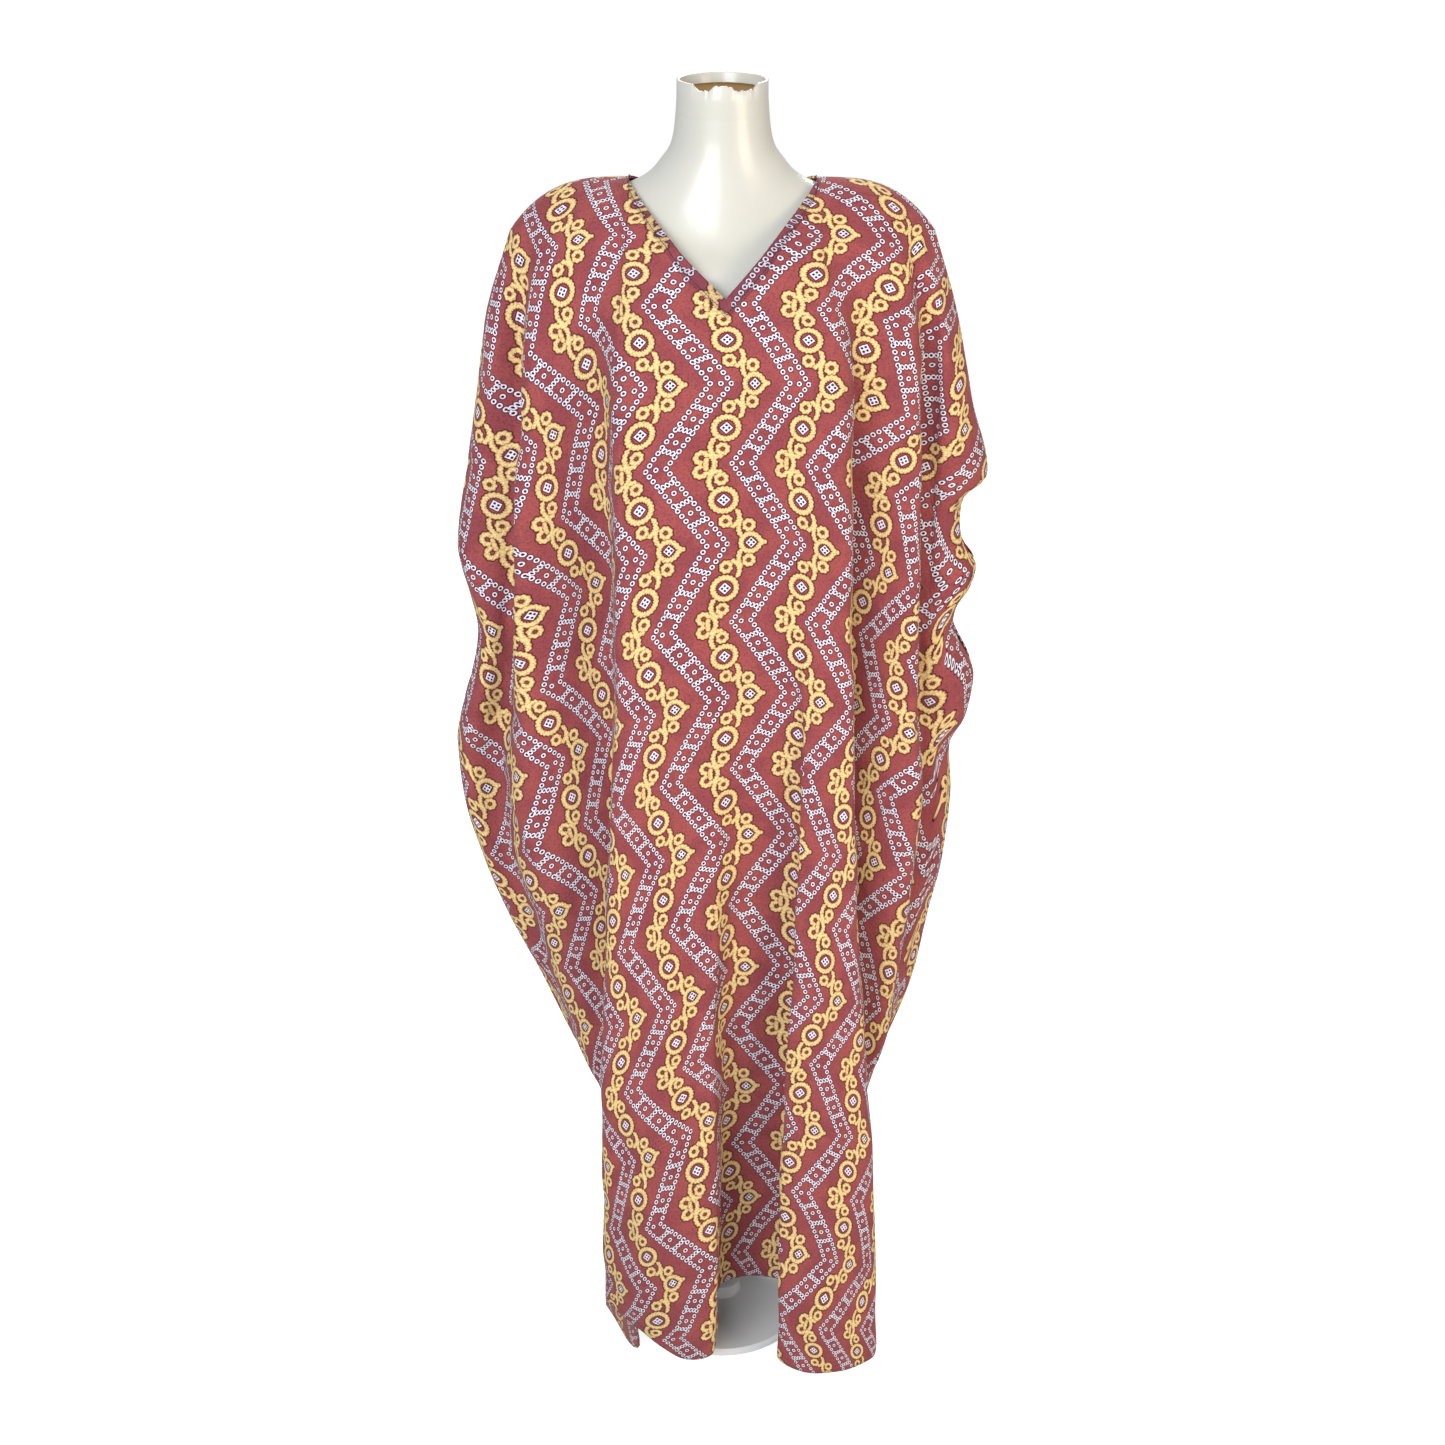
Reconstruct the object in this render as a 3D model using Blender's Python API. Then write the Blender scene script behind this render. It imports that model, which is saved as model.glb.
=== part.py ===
"""A V-necked, wide-sleeved kaftan hanging on an armless dress form.

The cloth is a front and a back panel, seamed along the shoulders, the folded
sleeve tops and the sides, with a narrow band round the neck. Each panel hangs
from the shoulder line. It is a wall of even thickness, lofted through level
sections, and each section passes through the panel's named fold lines.
Metres, +Z up. The wearer's front faces -Y and the floor is z = 0.
"""

import bisect
import math

import bmesh
import bpy
import numpy as np

# Cloth sizes
CLOTH_THICK = 0.0018
BAND_THICK = 0.0012
SEAM_GAP = 0.0003
NECK_HALF_WIDTH = 0.0905
NECK_POINT_Z = 1.470
V_BOTTOM_Z = 1.382
BACK_NECK_DROP = 0.030
BAND_ROWS = 2
BAND_DROP_FRONT = 0.018
BAND_DROP_BACK = 0.013
SIDE_DROP = 0.016
SHOULDER_TIP_X = 0.206
SHOULDER_TIP_Z = 1.420
SHOULDER_CURVE = 3.2
SHOULDER_ROUND = 0.55
WRIST_Z = {"left": 1.100, "right": 1.174}
UNDERARM_Z = 0.857
SLEEVE_HALF_GAP = 0.020

# Levels of the sections: yoke, chest, elbow, hip, knee, calf and hem
LEVELS = (1.420, 1.300, 1.050, 0.800, 0.500, 0.320, 0.050)
YOKE = LEVELS[0]

# Side edge of both panels: height, left x, right x, y of the side seam
SIDE_EDGE = (
    (1.420, -0.206, 0.206, 0.000),
    (1.341, -0.233, 0.232, 0.000),
    (1.249, -0.250, 0.253, 0.000),
    (1.174, -0.264, 0.273, 0.000),
    (1.120, -0.275, 0.258, 0.000),
    (1.090, -0.278, 0.259, 0.000),
    (1.060, -0.271, 0.266, 0.000),
    (1.010, -0.260, 0.250, 0.000),
    (0.944, -0.272, 0.272, 0.000),
    (0.900, -0.286, 0.268, 0.000),
    (0.857, -0.294, 0.252, 0.000),
    (0.793, -0.291, 0.257, 0.000),
    (0.713, -0.275, 0.253, 0.000),
    (0.631, -0.250, 0.240, 0.000),
    (0.545, -0.216, 0.227, 0.000),
    (0.457, -0.184, 0.202, 0.000),
    (0.364, -0.146, 0.170, 0.006),
    (0.200, -0.122, 0.148, 0.020),
    (0.050, -0.112, 0.136, 0.030),
    (0.000, -0.110, 0.134, 0.033),
)

# Fold lines of the front panel from left to right. For each line: its name
# and its height at the hem, then how far across and how far forward it lies
# at each level, from the yoke to the hem
FRONT_FOLDS = (
    ("left_fold", 0.044,
     (-0.184, -0.212, -0.224, -0.246, -0.182, -0.135, -0.124),
     (0.032, 0.030, 0.052, 0.030, 0.034, 0.022, 0.012)),
    ("left_wing", 0.034,
     (-0.160, -0.170, -0.198, -0.208, -0.168, -0.131, -0.119),
     (0.048, 0.084, 0.092, 0.096, 0.056, 0.046, 0.036)),
    ("left_pocket", 0.022,
     (-0.126, -0.122, -0.132, -0.142, -0.138, -0.122, -0.104),
     (0.066, 0.082, 0.064, 0.060, 0.062, 0.066, 0.062)),
    ("left_ridge", 0.070,
     (-0.0905, -0.098, -0.103, -0.117, -0.133, -0.140, -0.150),
     (0.080, 0.130, 0.142, 0.146, 0.137, 0.120, 0.056)),
    ("left_lobe", 0.064,
     (-0.052, -0.055, -0.055, -0.064, -0.076, -0.084, -0.092),
     (0.090, 0.142, 0.148, 0.151, 0.152, 0.148, 0.114)),
    ("left_lobe_edge", 0.062,
     (-0.022, -0.018, -0.012, -0.008, -0.008, -0.010, -0.016),
     (0.094, 0.141, 0.144, 0.144, 0.144, 0.146, 0.136)),
    ("valley_left", 0.098,
     (0.000, 0.008, 0.014, 0.014, 0.008, 0.004, 0.002),
     (0.095, 0.140, 0.139, 0.131, 0.102, 0.080, 0.052)),
    ("valley_right", 0.098,
     (0.032, 0.045, 0.050, 0.053, 0.058, 0.060, 0.062),
     (0.093, 0.140, 0.138, 0.129, 0.098, 0.076, 0.052)),
    ("right_lobe_edge", 0.040,
     (0.058, 0.076, 0.080, 0.079, 0.073, 0.072, 0.074),
     (0.089, 0.140, 0.143, 0.145, 0.146, 0.142, 0.134)),
    ("right_lobe", 0.034,
     (0.076, 0.098, 0.105, 0.112, 0.120, 0.124, 0.128),
     (0.085, 0.139, 0.146, 0.150, 0.154, 0.152, 0.146)),
    ("right_ridge", 0.036,
     (0.0905, 0.115, 0.126, 0.138, 0.160, 0.176, 0.190),
     (0.080, 0.130, 0.141, 0.146, 0.140, 0.136, 0.122)),
    ("right_pocket", 0.044,
     (0.126, 0.132, 0.147, 0.161, 0.170, 0.162, 0.176),
     (0.066, 0.084, 0.070, 0.072, 0.068, 0.076, 0.070)),
    ("right_wing", 0.050,
     (0.160, 0.174, 0.190, 0.204, 0.188, 0.164, 0.161),
     (0.048, 0.090, 0.094, 0.098, 0.060, 0.048, 0.036)),
    ("right_fold", 0.050,
     (0.184, 0.206, 0.211, 0.226, 0.199, 0.165, 0.152),
     (0.032, 0.034, 0.050, 0.034, 0.036, 0.022, 0.010)),
)

# Fold lines of the back panel, in the same form, with how far back they lie
BACK_FOLDS = (
    ("left_fold", 0.044,
     (-0.184, -0.210, -0.222, -0.242, -0.184, -0.142, -0.132),
     (0.030, 0.030, 0.052, 0.030, 0.042, 0.050, 0.066)),
    ("left_wing", 0.038,
     (-0.158, -0.176, -0.196, -0.206, -0.170, -0.146, -0.148),
     (0.048, 0.078, 0.086, 0.090, 0.082, 0.086, 0.104)),
    ("left_pocket", 0.044,
     (-0.126, -0.138, -0.144, -0.148, -0.130, -0.116, -0.106),
     (0.060, 0.074, 0.066, 0.066, 0.066, 0.074, 0.090)),
    ("left_ridge", 0.040,
     (-0.0905, -0.106, -0.110, -0.108, -0.100, -0.092, -0.084),
     (0.070, 0.106, 0.120, 0.126, 0.128, 0.132, 0.138)),
    ("left_hollow", 0.050,
     (-0.046, -0.052, -0.056, -0.052, -0.044, -0.040, -0.038),
     (0.080, 0.108, 0.106, 0.102, 0.092, 0.086, 0.080)),
    ("spine", 0.040,
     (0.000, 0.004, 0.008, 0.012, 0.016, 0.018, 0.018),
     (0.083, 0.110, 0.118, 0.124, 0.130, 0.136, 0.142)),
    ("right_hollow", 0.050,
     (0.046, 0.056, 0.064, 0.070, 0.074, 0.074, 0.072),
     (0.080, 0.107, 0.104, 0.102, 0.094, 0.088, 0.082)),
    ("right_ridge", 0.040,
     (0.0905, 0.110, 0.118, 0.124, 0.128, 0.128, 0.128),
     (0.070, 0.106, 0.120, 0.126, 0.127, 0.128, 0.132)),
    ("right_pocket", 0.044,
     (0.126, 0.140, 0.150, 0.158, 0.160, 0.152, 0.146),
     (0.060, 0.074, 0.066, 0.066, 0.066, 0.074, 0.082)),
    ("right_wing", 0.040,
     (0.158, 0.176, 0.192, 0.204, 0.196, 0.176, 0.172),
     (0.048, 0.080, 0.086, 0.090, 0.080, 0.080, 0.088)),
    ("right_fold", 0.050,
     (0.184, 0.208, 0.211, 0.226, 0.201, 0.166, 0.154),
     (0.030, 0.030, 0.050, 0.028, 0.044, 0.048, 0.058)),
)

# How far the flap beside each edge lies inside it, and how far from the seam,
# at each level
FLAP_INSET = (0.012, 0.014, 0.014, 0.014, 0.012, 0.000, -0.010)
FLAP_DEPTH = {
    "front": (0.020, 0.036, 0.030, 0.034, 0.020, 0.014, 0.022),
    "back": (0.019, 0.034, 0.030, 0.036, 0.028, 0.022, 0.018),
}

# How finely the panels are divided
COLUMNS_PER_FOLD = 2
ROWS = 32
COLUMN_SAMPLES = 160
ROW_EASE = 1.35
TIP_SHARE = 0.42

# Dress form, from its underside up: height, half width, front depth, back depth
FORM_RINGS = (
    (0.740, 0.150, 0.088, 0.086),
    (0.750, 0.158, 0.096, 0.094),
    (0.860, 0.164, 0.102, 0.096),
    (0.960, 0.148, 0.090, 0.084),
    (1.060, 0.122, 0.082, 0.076),
    (1.150, 0.130, 0.096, 0.082),
    (1.240, 0.148, 0.116, 0.088),
    (1.300, 0.156, 0.113, 0.090),
    (1.355, 0.168, 0.098, 0.080),
    (1.395, 0.178, 0.080, 0.065),
    (1.430, 0.177, 0.064, 0.054),
)
# The form's shoulders, under the seam: share of the seam's length, and gap
SHOULDER_RESTS = ((0.78, 0.0060), (0.64, 0.0050), (0.48, 0.0036), (0.30, 0.0005), (0.00, 0.0014))
SHOULDER_DEPTHS = (0.075, 0.062)
# The form's neck: height, half width, front depth, back depth
NECK_RINGS = (
    (1.4750, 0.0720, 0.0540, 0.0490),
    (1.4860, 0.0610, 0.0500, 0.0470),
    (1.4960, 0.0520, 0.0470, 0.0450),
    (1.5136, 0.0462, 0.0445, 0.0440),
    (1.5300, 0.0442, 0.0435, 0.0432),
)
NECK_ROOT_RADIUS = 0.046
NECK_ROOT_Z = 1.430
FORM_SIDES = 40
FORM_CLEAR = 0.0070
YOKE_CLEAR = 0.0180
LIMIT_COLUMNS = 60
FORM_STEP = 0.00001
NECK_TOP_Z = 1.5600
NECK_RIM_RADIUS = 0.0430
NECK_RIM_WALL = 0.0030
CAP_THICK = 0.0170
CAP_BEVEL = 0.0020

# Stand
POLE_RADIUS = 0.0125
POLE_SIDES = 24
FLANGE_RADIUS = 0.040
FLANGE_THICK = 0.006
HUB_RADIUS = 0.024
HUB_HEIGHT = 0.024
BASE_RADIUS = 0.115
BASE_THICK = 0.008
BASE_SIDES = 56
STAND_Y = 0.030

# Colours and finishes: base colour, roughness, metallic
FINISHES = {
    "printed_cotton": ((0.36, 0.055, 0.07), 0.85, 0.0),
    "neck_binding": ((0.25, 0.05, 0.08), 0.85, 0.0),
    "form_gloss": ((0.80, 0.78, 0.73), 0.18, 0.0),
    "cap_wood": ((0.35, 0.19, 0.06), 0.5, 0.0),
    "stand_white": ((0.82, 0.81, 0.78), 0.35, 0.0),
}


def clear_scene():
    """Remove every object that is already in the file."""
    for item in list(bpy.data.objects):
        bpy.data.objects.remove(item, do_unlink=True)


def finish_of(name):
    """Make the named finish, or find it if it is there."""
    material = bpy.data.materials.get(name)
    if material is None:
        colour, roughness, metallic = FINISHES[name]
        material = bpy.data.materials.new(name)
        material.use_nodes = True
        shader = material.node_tree.nodes["Principled BSDF"]
        shader.inputs["Base Color"].default_value = (*colour, 1.0)
        shader.inputs["Roughness"].default_value = roughness
        shader.inputs["Metallic"].default_value = metallic
    return material


def add_node(collection, name, mesh_maker, finish):
    """Make a named object from a bmesh and put it in the collection."""
    mesh = bpy.data.meshes.new(name)
    mesh_maker.normal_update()
    mesh_maker.to_mesh(mesh)
    mesh_maker.free()
    mesh.materials.append(finish_of(finish))
    mesh.shade_smooth()
    mesh.set_sharp_from_angle(angle=math.radians(50))
    item = bpy.data.objects.new(name, mesh)
    collection.objects.link(item)
    return item


def slopes_of(knots, values):
    """Slopes at the knots of a smooth curve that never overshoots its values."""
    steps = np.diff(knots)
    rises = np.diff(values) / steps
    slopes = np.zeros(len(knots))
    slopes[0] = rises[0]
    slopes[-1] = rises[-1]
    for i in range(1, len(knots) - 1):
        if rises[i - 1] * rises[i] > 0:
            before = 2 * steps[i] + steps[i - 1]
            after = steps[i] + 2 * steps[i - 1]
            slopes[i] = (before + after) / (before / rises[i - 1] + after / rises[i])
    return slopes


def smooth_value(knots, values, slopes, at):
    """Value of the smooth curve at one place, held level past its ends."""
    if at <= knots[0]:
        return values[0]
    if at >= knots[-1]:
        return values[-1]
    i = bisect.bisect_right(knots, at) - 1
    step = knots[i + 1] - knots[i]
    w = (at - knots[i]) / step
    start = (1 + 2 * w) * (1 - w) ** 2 * values[i] + w * (1 - w) ** 2 * step * slopes[i]
    end = w * w * (3 - 2 * w) * values[i + 1] + w * w * (w - 1) * step * slopes[i + 1]
    return start + end


class Curve:
    """A smooth curve through rows of (place, value)."""

    def __init__(self, rows):
        rows = sorted(rows)
        self.knots = [row[0] for row in rows]
        self.values = [row[1] for row in rows]
        self.slopes = slopes_of(np.array(self.knots), np.array(self.values))

    def __call__(self, at):
        return smooth_value(self.knots, self.values, self.slopes, at)


def shoulder_height(x):
    """Height of the shoulder seam at x, level with the neck inside the neck."""
    across = (abs(x) - NECK_HALF_WIDTH) / (SHOULDER_TIP_X - NECK_HALF_WIDTH)
    across = min(max(across, 0.0), 1.0)
    drop = NECK_POINT_Z - SHOULDER_TIP_Z
    return NECK_POINT_Z - drop * across**SHOULDER_CURVE


def neckline_height(x, is_front):
    """Height of the cut neck edge at x: a V in front and a shallow curve behind."""
    across = min(abs(x) / NECK_HALF_WIDTH, 1.0)
    if is_front:
        return V_BOTTOM_Z + (NECK_POINT_Z - V_BOTTOM_Z) * across
    return NECK_POINT_Z - BACK_NECK_DROP * (1 - across**2)


def sleeve_gap(z, side):
    """Half the width of the sleeve opening at a height, nought where it is sewn."""
    top = WRIST_Z[side]
    along = (top - z) / (top - UNDERARM_Z)
    if along <= 0 or along >= 1:
        return 0.0
    return SLEEVE_HALF_GAP * math.sin(math.pi * along) ** 0.7


class Panel:
    """A hanging panel of cloth, read at a column and a height.

    Columns count the fold lines across, from 0 at the left edge to the right
    edge. Above the wrists the outer columns start on the sleeve's folded top,
    which runs down from the shoulder tip.
    """

    def __init__(self, label, folds):
        self.is_front = label == "front"
        self.face = -1.0 if self.is_front else 1.0
        self.names = ["left_edge", "left_flap"] + [row[0] for row in folds]
        self.names += ["right_flap", "right_edge"]
        self.last = len(self.names) - 1
        self.lines = []
        for name, hem, across, forward in folds:
            self.lines.append((Curve(zip(LEVELS, across)), Curve(zip(LEVELS, forward))))
        self.inset = Curve(zip(LEVELS, FLAP_INSET))
        self.flap = Curve(zip(LEVELS, FLAP_DEPTH[label]))
        self.edges = {
            "left": Curve((row[0], row[1]) for row in SIDE_EDGE),
            "right": Curve((row[0], row[2]) for row in SIDE_EDGE),
        }
        self.seam = Curve((row[0], row[3]) for row in SIDE_EDGE)
        heights = [row[1] for row in folds]
        heights = [heights[0]] * 2 + heights + [heights[-1]] * 2
        self.hem = Curve(enumerate(heights))

    def column_of(self, name):
        return self.names.index(name)

    def side_of(self, column):
        return "left" if column < self.last / 2 else "right"

    def reach(self, column):
        """Side of a column, its pocket's column and its edge's column."""
        side = self.side_of(column)
        outer = 0 if side == "left" else self.last
        return side, self.column_of(side + "_pocket"), outer

    def edge_column(self, z, side, inner, outer):
        """The column that lies on the sleeve's folded top at a height."""
        tip = inner + (outer - inner) * TIP_SHARE
        share = (SHOULDER_TIP_Z - z) / (SHOULDER_TIP_Z - WRIST_Z[side])
        return tip + (outer - tip) * min(max(share, 0.0), 1.0)

    def section(self, z):
        """Points of the section at a height, with one past each edge."""
        points = [(across(z), self.face * forward(z)) for across, forward in self.lines]
        for side, inward in (("left", self.inset(z)), ("right", -self.inset(z))):
            x = self.edges[side](z)
            y = self.seam(z) + self.face * (sleeve_gap(z, side) + SEAM_GAP / 2)
            depth = self.face * self.flap(z)
            ends = [(x + inward, y - depth), (x, y), (x + inward, y + depth)]
            points = ends + points if side == "left" else points + ends[::-1]
        return points

    def spot(self, column, z):
        """Where a column passes a height, as x and y."""
        side, inner, outer = self.reach(column)
        if (column - inner) * (outer - inner) > 0:
            reach = self.edge_column(z, side, inner, outer) - inner
            column = inner + (column - inner) * (outer - inner) / reach
            column = min(max(column, 0.0), float(self.last))
        i = min(int(column), self.last - 1)
        return rounded(self.section(z)[i : i + 4], column - i)

    def top_of(self, column):
        """Height at which a column starts, at the neck edge or the shoulder."""
        side, inner, outer = self.reach(column)
        tip = self.edge_column(SHOULDER_TIP_Z, side, inner, outer)
        if (column - tip) * (outer - inner) > 0:
            share = (column - tip) / (outer - tip)
            return SHOULDER_TIP_Z - share * (SHOULDER_TIP_Z - WRIST_Z[side])
        x = self.spot(column, YOKE)[0]
        if abs(x) < NECK_HALF_WIDTH:
            return neckline_height(x, self.is_front)
        return shoulder_height(x)

    def point(self, column, z):
        """A point of the panel, rounded over the shoulder above the yoke."""
        x, y = self.spot(column, min(z, YOKE))
        if z > YOKE:
            top = shoulder_height(x)
            share = max(top - z, 0.0) / max(top - YOKE, z - YOKE)
            edge = self.face * SEAM_GAP / 2
            y = edge + (y - edge) * share**SHOULDER_ROUND
        return (x, y, z)

    def column_points(self, column, band_drop):
        """Points down one column, the first of them at even drops for the band."""
        if not self.column_of("left_ridge") <= column <= self.column_of("right_ridge"):
            band_drop = SIDE_DROP
        top = self.top_of(column)
        hem = self.hem(column)
        fine = []
        for i in range(COLUMN_SAMPLES + 1):
            z = top - (top - hem) * (i / COLUMN_SAMPLES) ** 1.6
            fine.append(self.point(column, z))
        fine = np.array(fine)
        lengths = np.linalg.norm(np.diff(fine, axis=0), axis=1)
        along = np.concatenate([[0.0], np.cumsum(lengths)])
        drops = [band_drop * i / BAND_ROWS for i in range(BAND_ROWS + 1)]
        below = ROWS - BAND_ROWS
        for i in range(1, below + 1):
            drops.append(band_drop + (along[-1] - band_drop) * (i / below) ** ROW_EASE)
        return np.stack([np.interp(drops, along, fine[:, k]) for k in range(3)], axis=1)

    def grid(self, band_drop):
        """The panel's outer points, a row of points down each column."""
        count = self.last * COLUMNS_PER_FOLD + 1
        columns = [i / COLUMNS_PER_FOLD for i in range(count)]
        points = [self.column_points(column, band_drop) for column in columns]
        return np.array(points)

    def normals(self, grid):
        """Outward normals at a grid's points, square to the seams where it is sewn."""
        normals = np.cross(np.gradient(grid, axis=1), np.gradient(grid, axis=0))
        normals = normals * -self.face
        for i in (0, len(grid) - 1):
            side = "left" if i == 0 else "right"
            for j in range(grid.shape[1]):
                if sleeve_gap(grid[i, j, 2], side) == 0.0:
                    normals[i, j, 1] = 0.0
        on_seam = np.abs(grid[:, 0, 1]) <= SEAM_GAP
        normals[on_seam, 0, 1] = 0.0
        return normals / np.linalg.norm(normals, axis=2, keepdims=True)


def rounded(points, w):
    """Smooth curve between the two middle points of four, at a share w."""
    before, start, end, after = [np.array(point) for point in points]
    gaps = []
    for a, b in ((before, start), (start, end), (end, after)):
        gaps.append(max(math.dist(a, b), 1e-6) ** 0.5)
    out = (start - before) / gaps[0] - (end - before) / (gaps[0] + gaps[1])
    out = (out + (end - start) / gaps[1]) * gaps[1]
    into = (end - start) / gaps[1] - (after - start) / (gaps[1] + gaps[2])
    into = (into + (after - end) / gaps[2]) * gaps[1]
    cubic = 2 * start - 2 * end + out + into
    square = -3 * start + 3 * end - 2 * out - into
    spot = ((cubic * w + square) * w + out) * w + start
    return float(spot[0]), float(spot[1])


def wall(outer, inner, turned):
    """A closed wall between two grids of points, turned where they run mirrored."""
    maker = bmesh.new()
    columns, rows = outer.shape[:2]
    skins = []
    for grid in (outer, inner):
        skins.append([[maker.verts.new(spot) for spot in column] for column in grid])
    skin, lining = skins
    faces = []
    for i in range(columns - 1):
        for j in range(rows - 1):
            corners = [(i, j), (i, j + 1), (i + 1, j + 1), (i + 1, j)]
            if math.dist(outer[i, j], outer[i + 1, j + 1]) > math.dist(outer[i, j + 1], outer[i + 1, j]):
                corners = corners[1:] + corners[:1]
            for picks in ((0, 1, 2), (0, 2, 3)):
                faces.append([skin[corners[k][0]][corners[k][1]] for k in picks])
                faces.append([lining[corners[k][0]][corners[k][1]] for k in picks[::-1]])
        faces.append((skin[i][0], skin[i + 1][0], lining[i + 1][0], lining[i][0]))
        faces.append((skin[i + 1][-1], skin[i][-1], lining[i][-1], lining[i + 1][-1]))
    for j in range(rows - 1):
        faces.append((skin[0][j + 1], skin[0][j], lining[0][j], lining[0][j + 1]))
        faces.append((skin[-1][j], skin[-1][j + 1], lining[-1][j + 1], lining[-1][j]))
    for corners in faces:
        maker.faces.new(corners[::-1] if turned else corners)
    return maker


def add_band(collection, name, panel, grid, normals, first, last):
    """A neck band piece, made from the panel's points and moved out."""
    start = panel.column_of(first) * COLUMNS_PER_FOLD
    stop = panel.column_of(last) * COLUMNS_PER_FOLD + 1
    base = grid[start:stop, : BAND_ROWS + 1].copy()
    out = normals[start:stop, : BAND_ROWS + 1]
    if panel.is_front:
        centre = -1 if start < panel.last * COLUMNS_PER_FOLD / 3 else 0
        base[centre, :, 0] += SEAM_GAP / 2 * (1 if centre == 0 else -1)
    under = base + SEAM_GAP * out
    over = base + (SEAM_GAP + BAND_THICK) * out
    add_node(collection, name, wall(over, under, not panel.is_front), "neck_binding")


def add_panels(collection):
    """The front and back panels, and the neck band pieces that lie on them."""
    for label, folds, drop in (
        ("front", FRONT_FOLDS, BAND_DROP_FRONT),
        ("back", BACK_FOLDS, BAND_DROP_BACK),
    ):
        panel = Panel(label, folds)
        grid = panel.grid(drop)
        normals = panel.normals(grid)
        lining = grid - CLOTH_THICK * normals
        turned = not panel.is_front
        add_node(collection, "kaftan_" + label, wall(grid, lining, turned), "printed_cotton")
        if panel.is_front:
            halves = (("left", "left_ridge", "valley_left"), ("right", "valley_left", "right_ridge"))
            for side, first, last in halves:
                add_band(collection, "neck_band_" + side, panel, grid, normals, first, last)
        else:
            add_band(collection, "neck_band_back", panel, grid, normals, "left_ridge", "right_ridge")


def shoulder_rings():
    """Rings of the form's shoulders, a small gap under the cloth of the seam."""
    rings = []
    run = SHOULDER_TIP_X - NECK_HALF_WIDTH
    drop = NECK_POINT_Z - SHOULDER_TIP_Z
    for share, gap in SHOULDER_RESTS:
        under = CLOTH_THICK + gap
        x = NECK_HALF_WIDTH + run * share
        slope = drop / run * SHOULDER_CURVE * share ** (SHOULDER_CURVE - 1)
        tilt = math.hypot(1.0, slope)
        z = shoulder_height(x) - under / tilt
        rings.append((z, x - under * slope / tilt, *SHOULDER_DEPTHS))
    return rings


def cloth_depths(panel, z):
    """How far the cloth stands from the middle plane, across the form's width."""
    spots = []
    for i in range(LIMIT_COLUMNS + 1):
        spot = panel.point(1 + (panel.last - 2) * i / LIMIT_COLUMNS, z)
        spots.append((spot[0], abs(spot[1])))
    spots.sort()
    return [spot[0] for spot in spots], [spot[1] for spot in spots]


def form_ring(ring, panels, sides):
    """Points round one ring of the form, kept inside the cloth over the chest."""
    z, half_width, front, back = ring
    limits = [cloth_depths(panel, z) for panel in panels]
    clear = YOKE_CLEAR if z > YOKE else FORM_CLEAR
    points = []
    for i in range(sides):
        angle = 2 * math.pi * i / sides
        across = math.cos(angle)
        along = math.sin(angle)
        depth = back if along > 0 else front
        xs, depths = limits[1] if along > 0 else limits[0]
        low = NECK_ROOT_RADIUS if z > NECK_ROOT_Z else 0.0
        high = 1 / math.hypot(across / half_width, along / depth)
        while high - low > FORM_STEP:
            middle = (low + high) / 2
            room = np.interp(middle * across, xs, depths) - clear
            if z > NECK_POINT_Z or middle * abs(along) < max(room, 0.0):
                low = middle
            elif abs(along) < FORM_STEP:
                low = middle
            else:
                high = middle
        points.append((high * across, high * along, z))
    return points


def loft_points(loops):
    """A closed solid through level loops of points, lowest first."""
    maker = bmesh.new()
    loops = [[maker.verts.new(spot) for spot in loop] for loop in loops]
    maker.faces.new(loops[0][::-1])
    maker.faces.new(loops[-1])
    for low, high in zip(loops, loops[1:]):
        for i in range(len(low)):
            j = (i + 1) % len(low)
            maker.faces.new((low[i], low[j], high[j], high[i]))
    return maker


def turned_solid(profile, sides, y):
    """A solid turned round an upright axis from (radius, height) points, top first."""
    maker = bmesh.new()
    loops = []
    for radius, z in profile:
        loop = []
        for i in range(sides):
            angle = 2 * math.pi * i / sides
            spot = (radius * math.cos(angle), y + radius * math.sin(angle), z)
            loop.append(maker.verts.new(spot))
        loops.append(loop)
    return maker, loops


def capped(profile, sides, y=0.0):
    """A turned solid closed by a flat face at each end."""
    maker, loops = turned_solid(profile, sides, y)
    maker.faces.new(loops[0])
    maker.faces.new(loops[-1][::-1])
    join_loops(maker, loops, False)
    return maker


def ringed(profile, sides, y=0.0):
    """A turned ring whose profile closes on itself."""
    maker, loops = turned_solid(profile, sides, y)
    join_loops(maker, loops, True)
    return maker


def join_loops(maker, loops, closes):
    """Faces between each loop and the next one down."""
    pairs = list(zip(loops, loops[1:]))
    if closes:
        pairs.append((loops[-1], loops[0]))
    for high, low in pairs:
        sides = len(high)
        for i in range(sides):
            j = (i + 1) % sides
            maker.faces.new((low[i], low[j], high[j], high[i]))


def add_form(collection):
    """The dress form: a smooth armless torso, its neck rim and the cap in it."""
    rings = list(FORM_RINGS) + shoulder_rings() + list(NECK_RINGS)
    panels = [Panel("front", FRONT_FOLDS), Panel("back", BACK_FOLDS)]
    loops = [form_ring(ring, panels, FORM_SIDES) for ring in rings]
    add_node(collection, "form_torso", loft_points(loops), "form_gloss")
    seat = NECK_RINGS[-1][0] + SEAM_GAP
    outer = NECK_RIM_RADIUS
    inner = outer - NECK_RIM_WALL
    rim = ((outer, NECK_TOP_Z), (outer, seat), (inner, seat), (inner, NECK_TOP_Z))
    add_node(collection, "form_neck_rim", ringed(rim, FORM_SIDES), "form_gloss")
    cap_radius = inner - SEAM_GAP
    top = seat + CAP_THICK
    cap = ((cap_radius - CAP_BEVEL, top), (cap_radius, top - CAP_BEVEL), (cap_radius, seat))
    add_node(collection, "form_neck_cap", capped(cap, FORM_SIDES), "cap_wood")


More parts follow.
